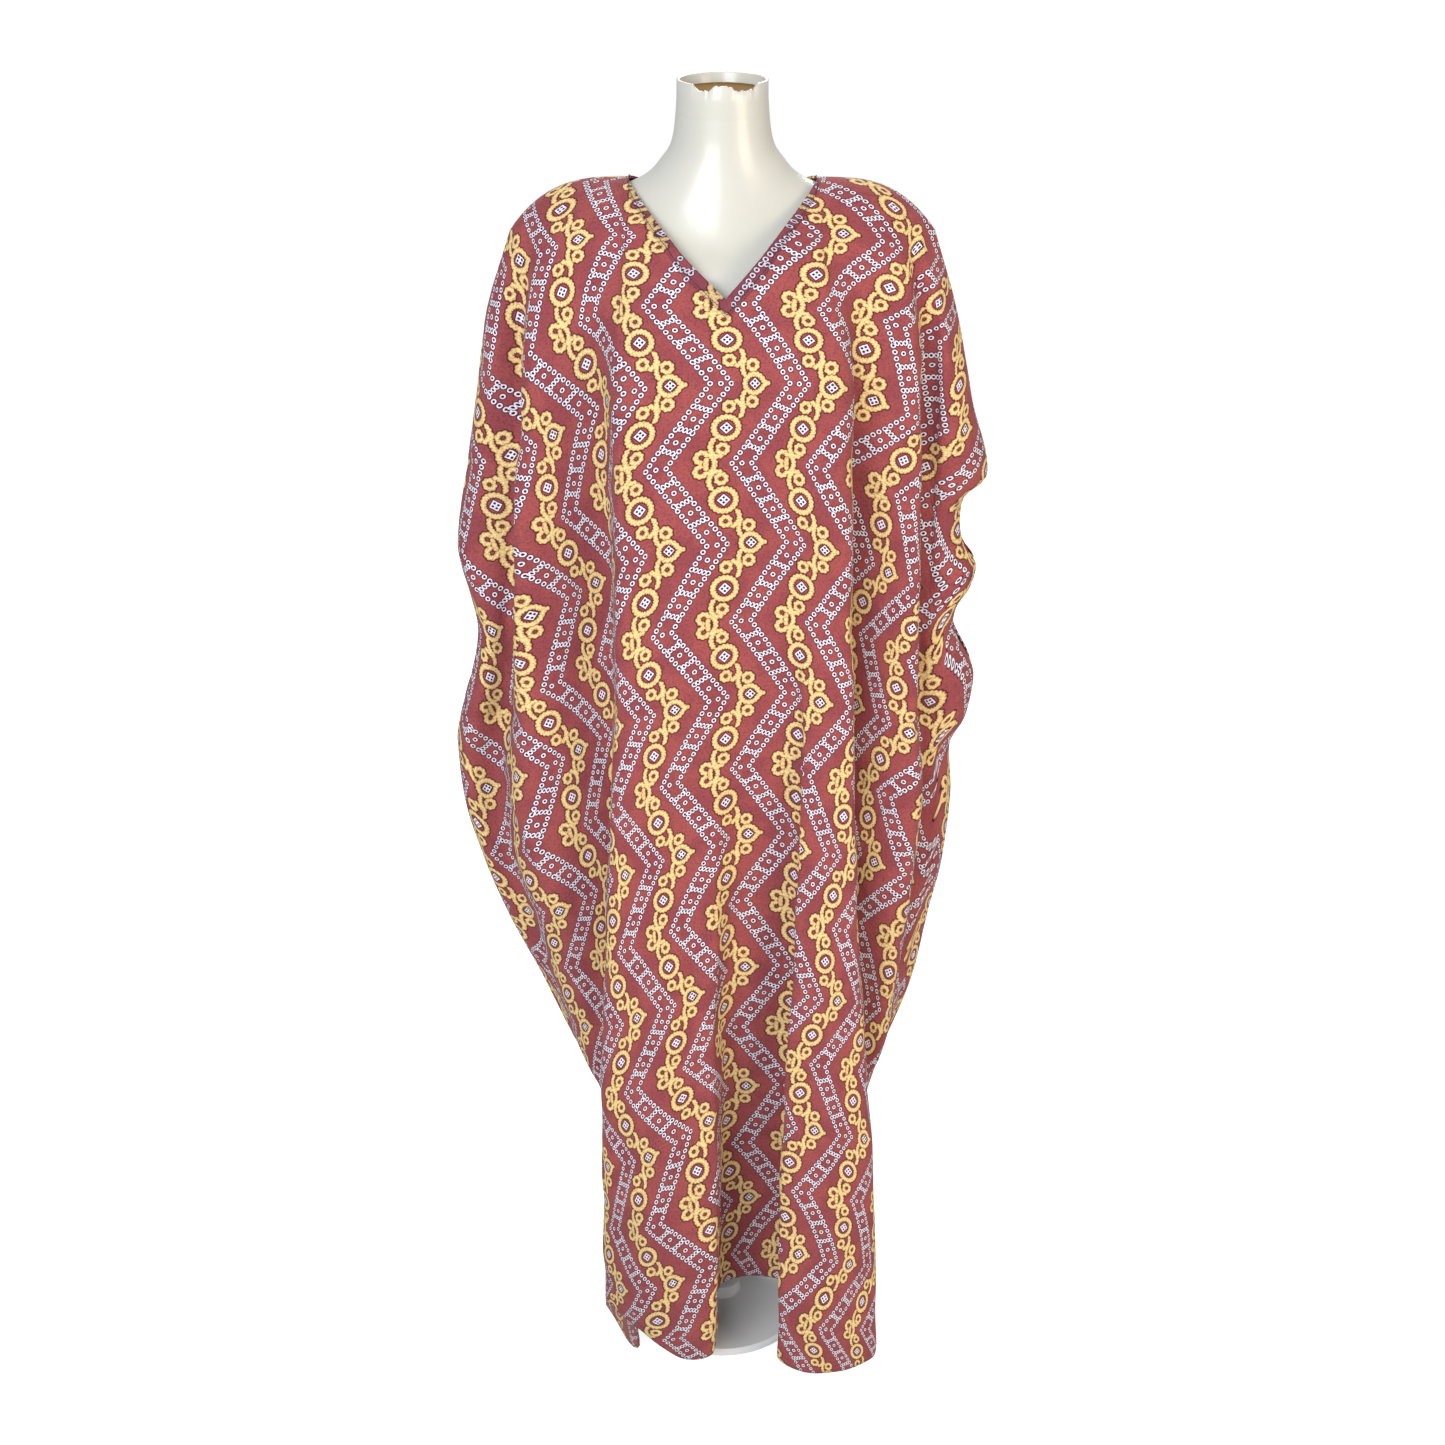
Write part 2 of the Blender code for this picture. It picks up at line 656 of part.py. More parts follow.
def add_stand(collection):
    """The stand: a flange under the torso, a pole, and a round base with a hub."""
    top = FORM_RINGS[0][0] - SEAM_GAP
    under = top - FLANGE_THICK
    flange = ((FLANGE_RADIUS, top), (FLANGE_RADIUS, under))
    add_node(collection, "stand_flange", capped(flange, POLE_SIDES, STAND_Y), "stand_white")
    pole_foot = BASE_THICK + HUB_HEIGHT + SEAM_GAP
    pole = ((POLE_RADIUS, under - SEAM_GAP), (POLE_RADIUS, pole_foot))
    add_node(collection, "stand_pole", capped(pole, POLE_SIDES, STAND_Y), "stand_white")
    base = (
        (HUB_RADIUS * 0.7, BASE_THICK + HUB_HEIGHT),
        (HUB_RADIUS, BASE_THICK + HUB_HEIGHT * 0.8),
        (HUB_RADIUS, BASE_THICK),
        (BASE_RADIUS - 0.004, BASE_THICK),
        (BASE_RADIUS, BASE_THICK * 0.6),
        (BASE_RADIUS, 0.0),
    )
    add_node(collection, "stand_base", capped(base, BASE_SIDES, STAND_Y), "stand_white")


def main():
    clear_scene()
    collection = bpy.data.collections.new("kaftan_on_form")
    bpy.context.scene.collection.children.link(collection)
    add_panels(collection)
    add_form(collection)
    add_stand(collection)


main()
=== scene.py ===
import math

import bpy
import numpy as np
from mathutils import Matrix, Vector


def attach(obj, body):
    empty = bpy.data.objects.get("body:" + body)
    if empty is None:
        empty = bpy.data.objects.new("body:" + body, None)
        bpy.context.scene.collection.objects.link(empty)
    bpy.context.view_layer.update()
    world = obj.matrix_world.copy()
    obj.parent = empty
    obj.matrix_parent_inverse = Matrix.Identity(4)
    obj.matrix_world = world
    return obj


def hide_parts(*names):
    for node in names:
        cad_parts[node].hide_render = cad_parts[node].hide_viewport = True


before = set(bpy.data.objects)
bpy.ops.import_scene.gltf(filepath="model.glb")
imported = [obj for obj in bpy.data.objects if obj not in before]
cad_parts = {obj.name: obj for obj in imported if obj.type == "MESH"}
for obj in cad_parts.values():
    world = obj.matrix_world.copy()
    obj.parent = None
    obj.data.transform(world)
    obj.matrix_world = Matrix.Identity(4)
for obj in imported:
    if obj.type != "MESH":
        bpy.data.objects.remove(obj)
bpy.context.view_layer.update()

# The kaftan, its print and its sewing, the dress form, the floor and the light.
# Metres, +Z up. The front faces -Y. Left and right are those of the front view.

# The tables of places are in millimetres, and are read through this
PER_METRE = 1000

# Cloth sizes in metres, as the solids have them
CLOTH_THICK = 0.0011
BAND_THICK = 0.0010
BAND_LIFT = 0.0002
NECK_HALF_WIDTH = 0.0905
NECK_POINT_Z = 1.470
V_BOTTOM_Z = 1.382
BACK_NECK_DROP = 0.030
BAND_DROP_FRONT = 0.018
BAND_DROP_BACK = 0.013
SHOULDER_TIP_X = 0.206
SHOULDER_TIP_Z = 1.420
SHOULDER_CURVE = 3.2
SHOULDER_ROUND = 0.55
WRIST_Z = {"left": 1.100, "right": 1.174}
UNDERARM_Z = 0.857
SLEEVE_HALF_GAP = {"left": 0.020, "right": 0.010}
SLEEVE_ROUND = 0.7
SEAM_HALF_GAP = 0.00006
TIP_SHARE = 0.42

# Levels of the sections in metres: yoke, chest, elbow, hip, knee, calf and hem
LEVELS = (1.420, 1.300, 1.050, 0.800, 0.500, 0.320, 0.050)
YOKE = LEVELS[0]
CHEST = LEVELS[1]

# Side edge of both panels, in millimetres: height, left x, right x, y of the seam
SIDE_EDGE = (
    (1420, -206, 206, 0),
    (1341, -233, 232, 0),
    (1249, -250, 253, 0),
    (1174, -264, 273, 0),
    (1148, -270, 248, 0),
    (1120, -275, 246, 0),
    (1095, -278, 253, 0),
    (1072, -274, 267, 0),
    (1050, -268, 262, 0),
    (1028, -263, 249, 0),
    (1010, -260, 246, 0),
    (944, -272, 272, 0),
    (900, -286, 268, 0),
    (857, -294, 252, 0),
    (793, -291, 257, 0),
    (713, -275, 253, 0),
    (631, -250, 240, 0),
    (545, -216, 227, 0),
    (457, -184, 202, 0),
    (364, -146, 170, 6),
    (200, -122, 148, 20),
    (50, -112, 136, 30),
    (0, -110, 134, 33),
)

# Fold lines of the front panel from left to right, in millimetres: name, height at
# the hem, then how far across and how far forward each lies at each level
FRONT_FOLDS = (
    ("left_fold", 44, (-184, -200, -215, -246, -182, -135, -124), (30, 38, 46, 30, 34, 22, 12)),
    ("left_wing", 34, (-172, -195, -211, -212, -168, -131, -119), (44, 70, 82, 94, 56, 46, 44)),
    ("left_pocket", 18, (-126, -122, -118, -112, -120, -122, -110), (66, 87, 72, 90, 80, 74, 86)),
    ("left_turn", 60, (-96, -105, -108, -120.5, -136.5, -143.5, -150),
     (74, 117, 122, 124, 117, 104, 52)),
    ("left_ridge", 82, (-90.5, -98, -103, -117, -133, -140, -149), (80, 130, 142, 146, 137, 120, 60)),
    ("left_lobe", 66, (-56, -60, -62, -70, -82, -90, -96), (90, 141, 148, 151, 152, 148, 112)),
    ("left_lobe_front", 45, (-36, -36, -34, -36, -42, -44, -48), (92, 142, 147, 149, 151, 151, 132)),
    ("left_lobe_edge", 60, (-20, -14, -8, -6, -10, -9, -12), (94, 141, 144, 144, 144, 146, 138)),
    ("left_lobe_turn", 76, (-10, -2, 4, 1, -5, -4, -7), (94.5, 141, 142, 138, 130, 128, 116)),
    ("valley_left", 100, (6, 14, 20, 17, 7, 3, 0), (95, 140, 139, 127, 100, 80, 52)),
    ("valley_right", 100, (36, 50, 58, 72, 78, 80, 79), (93, 140, 137, 122, 94, 72, 50)),
    ("right_lobe_turn", 72, (48, 64, 74, 85.5, 79, 75.5, 76), (91, 140, 139, 136, 130, 126, 116)),
    ("right_lobe_edge", 50, (60, 78, 83, 81.5, 72, 68, 69), (88, 140, 143, 145, 147, 143, 134)),
    ("right_lobe", 33, (76, 98, 106, 112, 118, 122, 124), (85, 139, 146, 150, 154, 152, 146)),
    ("right_ridge", 38, (90.5, 115, 126, 138, 160, 176, 190), (80, 130, 141, 146, 140, 136, 122)),
    ("right_turn", 44, (96, 122, 131, 142, 164, 180, 193), (74, 117, 122, 124, 120, 116, 106)),
    ("right_pocket", 44, (126, 124, 126, 134, 158, 162, 176), (66, 89, 72, 84, 68, 76, 70)),
    ("right_wing", 50, (170, 188, 197, 205, 188, 164, 161), (45, 80, 92, 98, 60, 48, 36)),
    ("right_fold", 50, (180, 196, 203, 218, 197, 165, 154), (34, 36, 46, 40, 40, 26, 14)),
    ("right_rise", 50, (190, 216, 218, 230, 200, 165, 150), (30, 44, 48, 36, 32, 20, 8)),
)

# Fold lines of the back panel, in the same form, with how far back they lie
BACK_FOLDS = (
    ("left_fold", 44, (-184, -210, -222, -242, -184, -142, -132), (30, 30, 52, 30, 42, 50, 66)),
    ("left_wing", 38, (-158, -176, -196, -206, -170, -146, -148), (48, 78, 86, 90, 82, 86, 104)),
    ("left_pocket", 44, (-126, -138, -144, -148, -130, -116, -106), (60, 74, 66, 66, 66, 74, 90)),
    ("left_ridge", 40, (-90.5, -106, -110, -108, -100, -92, -84), (70, 106, 120, 126, 128, 132, 138)),
    ("left_hollow", 50, (-46, -52, -56, -52, -44, -40, -38), (80, 108, 106, 102, 92, 86, 80)),
    ("spine", 40, (0, 4, 8, 12, 16, 18, 18), (83, 110, 118, 124, 130, 136, 142)),
    ("right_hollow", 50, (46, 56, 64, 70, 74, 74, 72), (80, 107, 104, 102, 94, 88, 82)),
    ("right_ridge", 40, (90.5, 110, 118, 124, 128, 128, 128), (70, 106, 120, 126, 127, 128, 132)),
    ("right_pocket", 44, (126, 140, 150, 158, 160, 152, 146), (60, 74, 66, 66, 66, 74, 82)),
    ("right_wing", 40, (158, 176, 192, 204, 196, 176, 172), (48, 80, 86, 90, 80, 80, 88)),
    ("right_fold", 50, (184, 208, 211, 226, 201, 166, 154), (30, 30, 50, 28, 44, 48, 58)),
)

# How far the flap beside each edge lies inside it, and how far from the seam, at
# each level in metres
FLAP_INSET = (0.012, 0.014, 0.014, 0.014, 0.012, 0.000, -0.010)
FLAP_DEPTH = {
    "front": (0.020, 0.036, 0.030, 0.034, 0.020, 0.014, 0.022),
    "back": (0.019, 0.034, 0.030, 0.036, 0.028, 0.022, 0.018),
}

# How finely the cloth is divided
COLUMNS_PER_FOLD = 9
ROWS = 232
BAND_ROWS = 5
COLUMN_SAMPLES = 420
SAMPLE_CROWDING = 1.6


def cubic(start, end, out, into, w):
    """A cubic from start to end with a slope at each, read at a share w."""
    cube = 2 * start - 2 * end + out + into
    square = -3 * start + 3 * end - 2 * out - into
    return ((cube * w + square) * w + out) * w + start


def slopes_of(knots, values):
    """Slopes at the knots of a smooth curve that never overshoots its values."""
    steps = np.diff(knots)
    rises = np.diff(values) / steps
    slopes = np.zeros(len(knots))
    slopes[0] = rises[0]
    slopes[-1] = rises[-1]
    for i in range(1, len(knots) - 1):
        if rises[i - 1] * rises[i] > 0:
            before = 2 * steps[i] + steps[i - 1]
            after = steps[i] + 2 * steps[i - 1]
            slopes[i] = (before + after) / (before / rises[i - 1] + after / rises[i])
    return slopes


class Curve:
    """A smooth curve through rows of (place, value), held level past its ends."""

    def __init__(self, rows):
        rows = sorted(rows)
        self.knots = np.array([row[0] for row in rows], dtype=float)
        self.values = np.array([row[1] for row in rows], dtype=float)
        self.slopes = slopes_of(self.knots, self.values)

    def __call__(self, at):
        at = np.clip(at, self.knots[0], self.knots[-1])
        i = np.searchsorted(self.knots, at, side="right") - 1
        i = np.clip(i, 0, len(self.knots) - 2)
        step = self.knots[i + 1] - self.knots[i]
        out, into = step * self.slopes[i], step * self.slopes[i + 1]
        return cubic(self.values[i], self.values[i + 1], out, into, (at - self.knots[i]) / step)


def shoulder_height(x):
    """Height of the shoulder seam at x, level with the neck inside the neck."""
    across = (np.abs(x) - NECK_HALF_WIDTH) / (SHOULDER_TIP_X - NECK_HALF_WIDTH)
    across = np.clip(across, 0.0, 1.0)
    drop = NECK_POINT_Z - SHOULDER_TIP_Z
    return NECK_POINT_Z - drop * across**SHOULDER_CURVE


def neckline_height(x, is_front):
    """Height of the cut neck edge at x: a V in front and a shallow curve behind."""
    across = min(abs(x) / NECK_HALF_WIDTH, 1.0)
    if is_front:
        return V_BOTTOM_Z + (NECK_POINT_Z - V_BOTTOM_Z) * across
    return NECK_POINT_Z - BACK_NECK_DROP * (1 - across**2)


def sleeve_gap(z, side):
    """Half the width of the sleeve opening at a height, nought where it is sewn."""
    top = WRIST_Z[side]
    along = np.clip((top - z) / (top - UNDERARM_Z), 0.0, 1.0)
    return SLEEVE_HALF_GAP[side] * np.sin(math.pi * along).clip(0.0) ** SLEEVE_ROUND


def rounded(points, w):
    """Smooth curve between the two middle points of four, at a share w."""
    before, start, end, after = points
    gaps = []
    for a, b in ((before, start), (start, end), (end, after)):
        gaps.append(np.maximum(np.linalg.norm(b - a, axis=0), 1e-6) ** 0.5)
    out = (start - before) / gaps[0] - (end - before) / (gaps[0] + gaps[1])
    out = (out + (end - start) / gaps[1]) * gaps[1]
    into = (end - start) / gaps[1] - (after - start) / (gaps[1] + gaps[2])
    into = (into + (after - end) / gaps[2]) * gaps[1]
    return cubic(start, end, out, into, w)


def sleeve_top_column(z, side, inner, outer):
    """The column that lies on the sleeve's folded top at a height."""
    tip = inner + (outer - inner) * TIP_SHARE
    share = (SHOULDER_TIP_Z - z) / (SHOULDER_TIP_Z - WRIST_Z[side])
    return tip + (outer - tip) * np.clip(share, 0.0, 1.0)


class Panel:
    """A hanging panel of cloth, read at a column and at some heights.

    Columns count the fold lines across, from 0 at the left edge to the right
    edge. Above the wrists the outer columns start on the sleeve's folded top,
    which runs down from the shoulder tip.
    """

    def __init__(self, label, folds):
        self.label = label
        self.is_front = label == "front"
        self.face = -1.0 if self.is_front else 1.0
        self.names = ["left_edge", "left_flap"] + [row[0] for row in folds]
        self.names += ["right_flap", "right_edge"]
        self.last = len(self.names) - 1
        self.lines = []
        for fold in folds:
            self.lines.append([Curve(zip(LEVELS, np.array(row) / PER_METRE)) for row in fold[2:]])
        self.inset = Curve(zip(LEVELS, FLAP_INSET))
        self.flap = Curve(zip(LEVELS, FLAP_DEPTH[label]))
        height, left, right, seam = np.array(SIDE_EDGE).T / PER_METRE
        self.edges = {"left": Curve(zip(height, left)), "right": Curve(zip(height, right))}
        self.seam = Curve(zip(height, seam))
        heights = [row[1] / PER_METRE for row in folds]
        heights = [heights[0]] * 2 + heights + [heights[-1]] * 2
        self.hem = Curve(enumerate(heights))

    def column_of(self, name):
        return self.names.index(name)

    def reach(self, column):
        """Side of a column, its pocket's column and its edge's column."""
        side = "left" if column < self.last / 2 else "right"
        outer = 0 if side == "left" else self.last
        return side, self.column_of(side + "_pocket"), outer

    def section(self, z):
        """Points of the sections at some heights, with one past each edge."""
        points = [(across(z), self.face * forward(z)) for across, forward in self.lines]
        for side, inward in (("left", self.inset(z)), ("right", -self.inset(z))):
            x = self.edges[side](z)
            y = self.seam(z) + self.face * (sleeve_gap(z, side) + SEAM_HALF_GAP)
            depth = self.face * self.flap(z)
            ends = [(x + inward, y - depth), (x, y), (x + inward, y + depth)]
            points = ends + points if side == "left" else points + ends[::-1]
        return np.array(points)

    def spot(self, column, z):
        """Where a column passes some heights, as x and y."""
        side, inner, outer = self.reach(column)
        columns = np.full(len(z), float(column))
        if (column - inner) * (outer - inner) > 0:
            reach = sleeve_top_column(z, side, inner, outer) - inner
            columns = inner + (column - inner) * (outer - inner) / reach
            columns = np.clip(columns, 0.0, float(self.last))
        i = np.minimum(columns.astype(int), self.last - 1)
        section = self.section(z)
        each = np.arange(len(z))
        four = [section[i + k, :, each].T for k in range(4)]
        return rounded(four, columns - i)

    def top_of(self, column):
        """Height at which a column starts, at the neck edge or the shoulder."""
        side, inner, outer = self.reach(column)
        tip = float(sleeve_top_column(SHOULDER_TIP_Z, side, inner, outer))
        if (column - tip) * (outer - inner) > 0:
            share = (column - tip) / (outer - tip)
            return SHOULDER_TIP_Z - share * (SHOULDER_TIP_Z - WRIST_Z[side])
        x = float(self.spot(column, np.array([YOKE]))[0, 0])
        if abs(x) < NECK_HALF_WIDTH:
            return neckline_height(x, self.is_front)
        return float(shoulder_height(x))

    def points(self, column, z):
        """Points of a column, rounded over the shoulder above the yoke."""
        x, y = self.spot(column, np.minimum(z, YOKE))
        top = shoulder_height(x)
        share = np.maximum(top - z, 0.0) / np.maximum(np.maximum(top - YOKE, z - YOKE), 1e-6)
        edge = self.face * SEAM_HALF_GAP
        y = np.where(z > YOKE, edge + (y - edge) * np.clip(share, 0, 1) ** SHOULDER_ROUND, y)
        return np.stack([x, y, z], axis=1)

    def column_points(self, column, band_drop):
        """Points down one column, the first of them at even drops for the band."""
        top = self.top_of(column)
        shares = (np.arange(COLUMN_SAMPLES + 1) / COLUMN_SAMPLES) ** SAMPLE_CROWDING
        fine = self.points(column, top - (top - float(self.hem(column))) * shares)
        lengths = np.linalg.norm(np.diff(fine, axis=0), axis=1)
        along = np.concatenate([[0.0], np.cumsum(lengths)])
        drops = [band_drop * i / BAND_ROWS for i in range(BAND_ROWS)]
        drops += list(np.linspace(band_drop, along[-1], ROWS - BAND_ROWS))
        return np.stack([np.interp(drops, along, fine[:, k]) for k in range(3)], axis=1)

    def grid(self, band_drop):
        """The panel's points, a row of points down each column."""
        count = self.last * COLUMNS_PER_FOLD + 1
        columns = [i / COLUMNS_PER_FOLD for i in range(count)]
        return np.array([self.column_points(column, band_drop) for column in columns])


def unit(vectors):
    """A grid of vectors, each made one long."""
    return vectors / np.maximum(np.linalg.norm(vectors, axis=2, keepdims=True), 1e-9)


def cloth_coordinates(grid, centre):
    """How far across from a column, and how far down from the chest, in metres."""
    across = np.zeros(grid.shape[:2])
    down = np.zeros(grid.shape[:2])
    steps = np.linalg.norm(np.diff(grid, axis=1), axis=2)
    down[:, 1:] = np.cumsum(steps, axis=1)
    heights = grid[:, :, 2]
    order = list(range(centre, len(grid))) + list(range(centre - 1, -1, -1))
    for i in order:
        column = heights[i][::-1]
        if heights[i, 0] > CHEST:
            down[i] -= np.interp(CHEST, column, down[i][::-1])
        else:
            near = i - 1 if i > centre else i + 1
            down[i] += np.interp(heights[i, 0], heights[near][::-1], down[near][::-1])
    for i in order:
        if i == centre:
            continue
        near = i - 1 if i > centre else i + 1
        beside = []
        for k in range(3):
            beside.append(np.interp(-heights[i], -heights[near], grid[near, :, k]))
        beside = np.stack(beside, axis=1)
        base = np.interp(-heights[i], -heights[near], across[near])
        gap = np.linalg.norm((grid[i] - beside)[:, :2], axis=1)
        across[i] = base + gap * (1 if i > centre else -1)
    return across, down


def shell_mesh(name, outer, inner, uv, turned):
    """A thin closed wall between two grids of points, with the print's coordinates."""
    columns, rows = outer.shape[:2]
    count = columns * rows
    index = np.arange(count).reshape(columns, rows)
    a, b, c, d = index[:-1, :-1], index[:-1, 1:], index[1:, 1:], index[1:, :-1]
    skin = np.stack([a, b, c, d], axis=-1).reshape(-1, 4)
    lining = np.stack([a, d, c, b], axis=-1).reshape(-1, 4) + count
    rim = []
    loop = np.concatenate([index[:, 0], index[-1, 1:], index[-2::-1, -1], index[0, -2:0:-1]])
    for start, end in zip(loop, np.roll(loop, -1)):
        rim.append((start, end, end + count, start + count))
    faces = np.concatenate([skin, lining, np.array(rim)])
    if turned:
        faces = faces[:, ::-1]
    points = np.concatenate([outer.reshape(-1, 3), inner.reshape(-1, 3)])
    mesh = bpy.data.meshes.new(name)
    mesh.from_pydata(points.tolist(), [], faces.tolist())
    layer = mesh.uv_layers.new(name="cloth")
    both = np.concatenate([uv.reshape(-1, 2), uv.reshape(-1, 2)])
    corners = np.zeros(len(mesh.loops), dtype=int)
    mesh.loops.foreach_get("vertex_index", corners)
    layer.data.foreach_set("uv", both[corners].ravel())
    slots = np.zeros(len(faces), dtype=int)
    slots[len(skin) : len(skin) + len(lining)] = 1
    mesh.polygons.foreach_set("material_index", slots)
    mesh.polygons.foreach_set("use_smooth", np.ones(len(faces), dtype=bool))
    mesh.update()
    return mesh


def add_piece(name, mesh, materials):
    """Put a mesh in the scene as a piece of the root body."""
    for material in materials:
        mesh.materials.append(material)
    piece = bpy.data.objects.new(name, mesh)
    bpy.context.scene.collection.objects.link(piece)
    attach(piece, "root")
    return piece


class Tree:
    """Short calls that add and join the nodes of one shader tree or group."""

    def __init__(self, tree):
        self.tree = tree

    def add(self, kind, *inputs, out=0, **settings):
        """A node with its settings and its inputs in order; None leaves one alone."""
        node = self.tree.nodes.new(kind)
        for key, value in settings.items():
            setattr(node, key, value)
        for place, value in enumerate(inputs):
            if value is not None:
                self.feed(node.inputs[place], value)
        return node.outputs[out]

    def feed(self, socket, value):
        """Link an output to an input, or set the input to a plain value."""
        if isinstance(value, bpy.types.NodeSocket):
            self.tree.links.new(value, socket)
        else:
            socket.default_value = value

    def math(self, operation, *inputs, clamp=False):
        return self.add("ShaderNodeMath", *inputs, operation=operation, use_clamp=clamp)

    def minus(self, a, b, clamp=False):
        return self.math("SUBTRACT", a, b, clamp=clamp)

    def times(self, a, b):
        return self.math("MULTIPLY", a, b)

    def plus(self, a, b):
        return self.math("ADD", a, b)

    def size(self, value):
        return self.math("ABSOLUTE", value)

    def positive(self, value):
        """A value, or nought where it is below nought."""
        return self.math("MAXIMUM", value, 0.0)

    def noise(self, place, scale, detail, roughness):
        return self.add("ShaderNodeTexNoise", place, None, scale, detail, roughness)

    def split(self, vector):
        """The three parts of a vector."""
        return self.add("ShaderNodeSeparateXYZ", vector).node.outputs

    def vector(self, operation, a, b=None, out=0):
        return self.add("ShaderNodeVectorMath", a, b, operation=operation, out=out)

    def length(self, a, b):
        """Length of the vector with two parts."""
        return self.vector("LENGTH", self.add("ShaderNodeCombineXYZ", a, b), out=1)

    def least(self, values):
        lowest = values[0]
        for value in values[1:]:
            lowest = self.math("MINIMUM", lowest, value)
        return lowest

    def inside(self, distance, soft):
        """1 where a distance is below nought, fading over a soft edge."""
        return self.add(
            "ShaderNodeMapRange", distance, -soft, soft, 1.0, 0.0, interpolation_type="SMOOTHSTEP"
        )

    def blend(self, share, a, b):
        """Colour a turned into colour b by a share."""
        node = self.tree.nodes.new("ShaderNodeMix")
        node.data_type = "RGBA"
        for place, value in ((0, share), (6, a), (7, b)):
            self.feed(node.inputs[place], value)
        return node.outputs[2]

    def group(self, group, **inputs):
        """A placed node group with its named inputs."""
        node = self.tree.nodes.new("ShaderNodeGroup")
        node.node_tree = group
        for name, value in inputs.items():
            self.feed(node.inputs[name.replace("_", " ").capitalize()], value)
        return node.outputs


def new_group(name, inputs, outputs):
    """An empty shader group with named inputs and outputs, and its two end nodes."""
    group = bpy.data.node_groups.new(name, "ShaderNodeTree")
    kinds = {"value": "NodeSocketFloat", "vector": "NodeSocketVector", "colour": "NodeSocketColor"}
    for label, kind in inputs:
        group.interface.new_socket(label, in_out="INPUT", socket_type=kinds[kind])
    for label, kind in outputs:
        group.interface.new_socket(label, in_out="OUTPUT", socket_type=kinds[kind])
    start = group.nodes.new("NodeGroupInput")
    end = group.nodes.new("NodeGroupOutput")
    return group, start.outputs, end.inputs


# The print's colours
GROUND = (0.340, 0.074, 0.071, 1.0)
GROUND_DARK = (0.215, 0.042, 0.056, 1.0)
GOLD = (0.780, 0.565, 0.240, 1.0)
GOLD_PALE = (0.910, 0.770, 0.430, 1.0)
GOLD_EDGE = (0.470, 0.220, 0.080, 1.0)
OUTLINE = (0.060, 0.010, 0.020, 1.0)
BEAD = (0.880, 0.790, 0.860, 1.0)
BEAD_SPOT = (0.016, 0.012, 0.045, 1.0)
# Dark specks between the threads, and how much they cover
SPECK = (0.045, 0.012, 0.022, 1.0)
SPECK_SHARE = 0.42
# The cotton's roughness, and how much the print changes it
COTTON_ROUGHNESS = 0.86
INK_SHINE = -0.08

# The print's repeat, in millimetres: columns apart, height of half a zigzag, how far
# a ladder swings to each side, half its width, and the beads down each straight leg
CHAIN_PITCH = 78.0
HALF_REPEAT = 82.5
LADDER_SWING = 27.5
LADDER_HALF = 9.6
BEADS_PER_LEG = 15
# Shares of a leg: its first rung, the rungs' distance and the last one's number,
# and where the lone beads between its rails lie
RUNGS = (0.30, 0.25, 2.0)
LONE_BEADS = (0.0, 0.17, 0.425, 0.69, 1.0)

# The cord: how far apart and how deep its scallops are, the least radius that they
# are counted round, and how steeply it ends along itself and its pale line across
SCALLOP_PITCH = 3.4
SCALLOP_DEPTH = 0.42
SMALLEST_ARC = 0.8
END_FALL = 1.4
DASH_FALL = 1.6

# Strokes of the gold chain from a right turn down to a left turn. For each, in
# millimetres and degrees: centre across, centre down, radius, half width of the
# stroke, the way its middle faces (0 right, 90 down), half its sweep, and how far
# round from the right it starts to run straight to a point
CHAIN_STROKES = (
    (20.5, 0.0, 9.2, 2.7, 0, 180, 37),
    (35.4, 0.0, 0.0, 2.2, 0, 180, 0),
    (24.4, 16.0, 15.5, 2.6, 180, 30, 0),
    (18.9, 18.4, 4.6, 2.4, 5, 160, 0),
    (-0.5, 27.4, 10.2, 2.6, -17, 56, 0),
    (-3.4, 23.4, 4.5, 2.4, 180, 160, 0),
    (-4.9, 45.4, 11.3, 2.9, 0, 180, 0),
    (-5.5, 65.0, 12.6, 2.6, 180, 38, 0),
    (-10.0, 64.0, 10.8, 2.4, 106, 26, 0),
    (-7.2, 67.2, 4.5, 2.4, 5, 160, 0),
    (-24.2, 82.5, 10.8, 2.6, 0, 58, 0),
    (-25.4, 75.4, 5.0, 2.6, 215, 128, 0),
    (-20.6, 78.4, 0.0, 2.7, 0, 180, 0),
    (-20.9, 82.5, 0.0, 3.0, 0, 180, 0),
)
# Blue-white diamonds in the rings: centre across and down, and half size
DIAMONDS = ((21.2, 0.0, 5.5), (-4.9, 45.4, 6.1))
# Their dark spots: how far from the middle, and radius
SPOT_AWAY = 2.6
SPOT_RADIUS = 1.25
# Radii of the beads on the rails and alone, on the rungs, and of their dark middles
BEAD_RADIUS = 2.5
RUNG_BEAD_RADIUS = 2.4
BEAD_MIDDLE = 1.3
# How far a rung drops for each millimetre across
RUNG_SLANT = 0.33
# Dark outlines round the chain, the beads and the diamonds
CHAIN_OUTLINE = 1.1
BEAD_OUTLINE = 0.8
DIAMOND_OUTLINE = 1.4


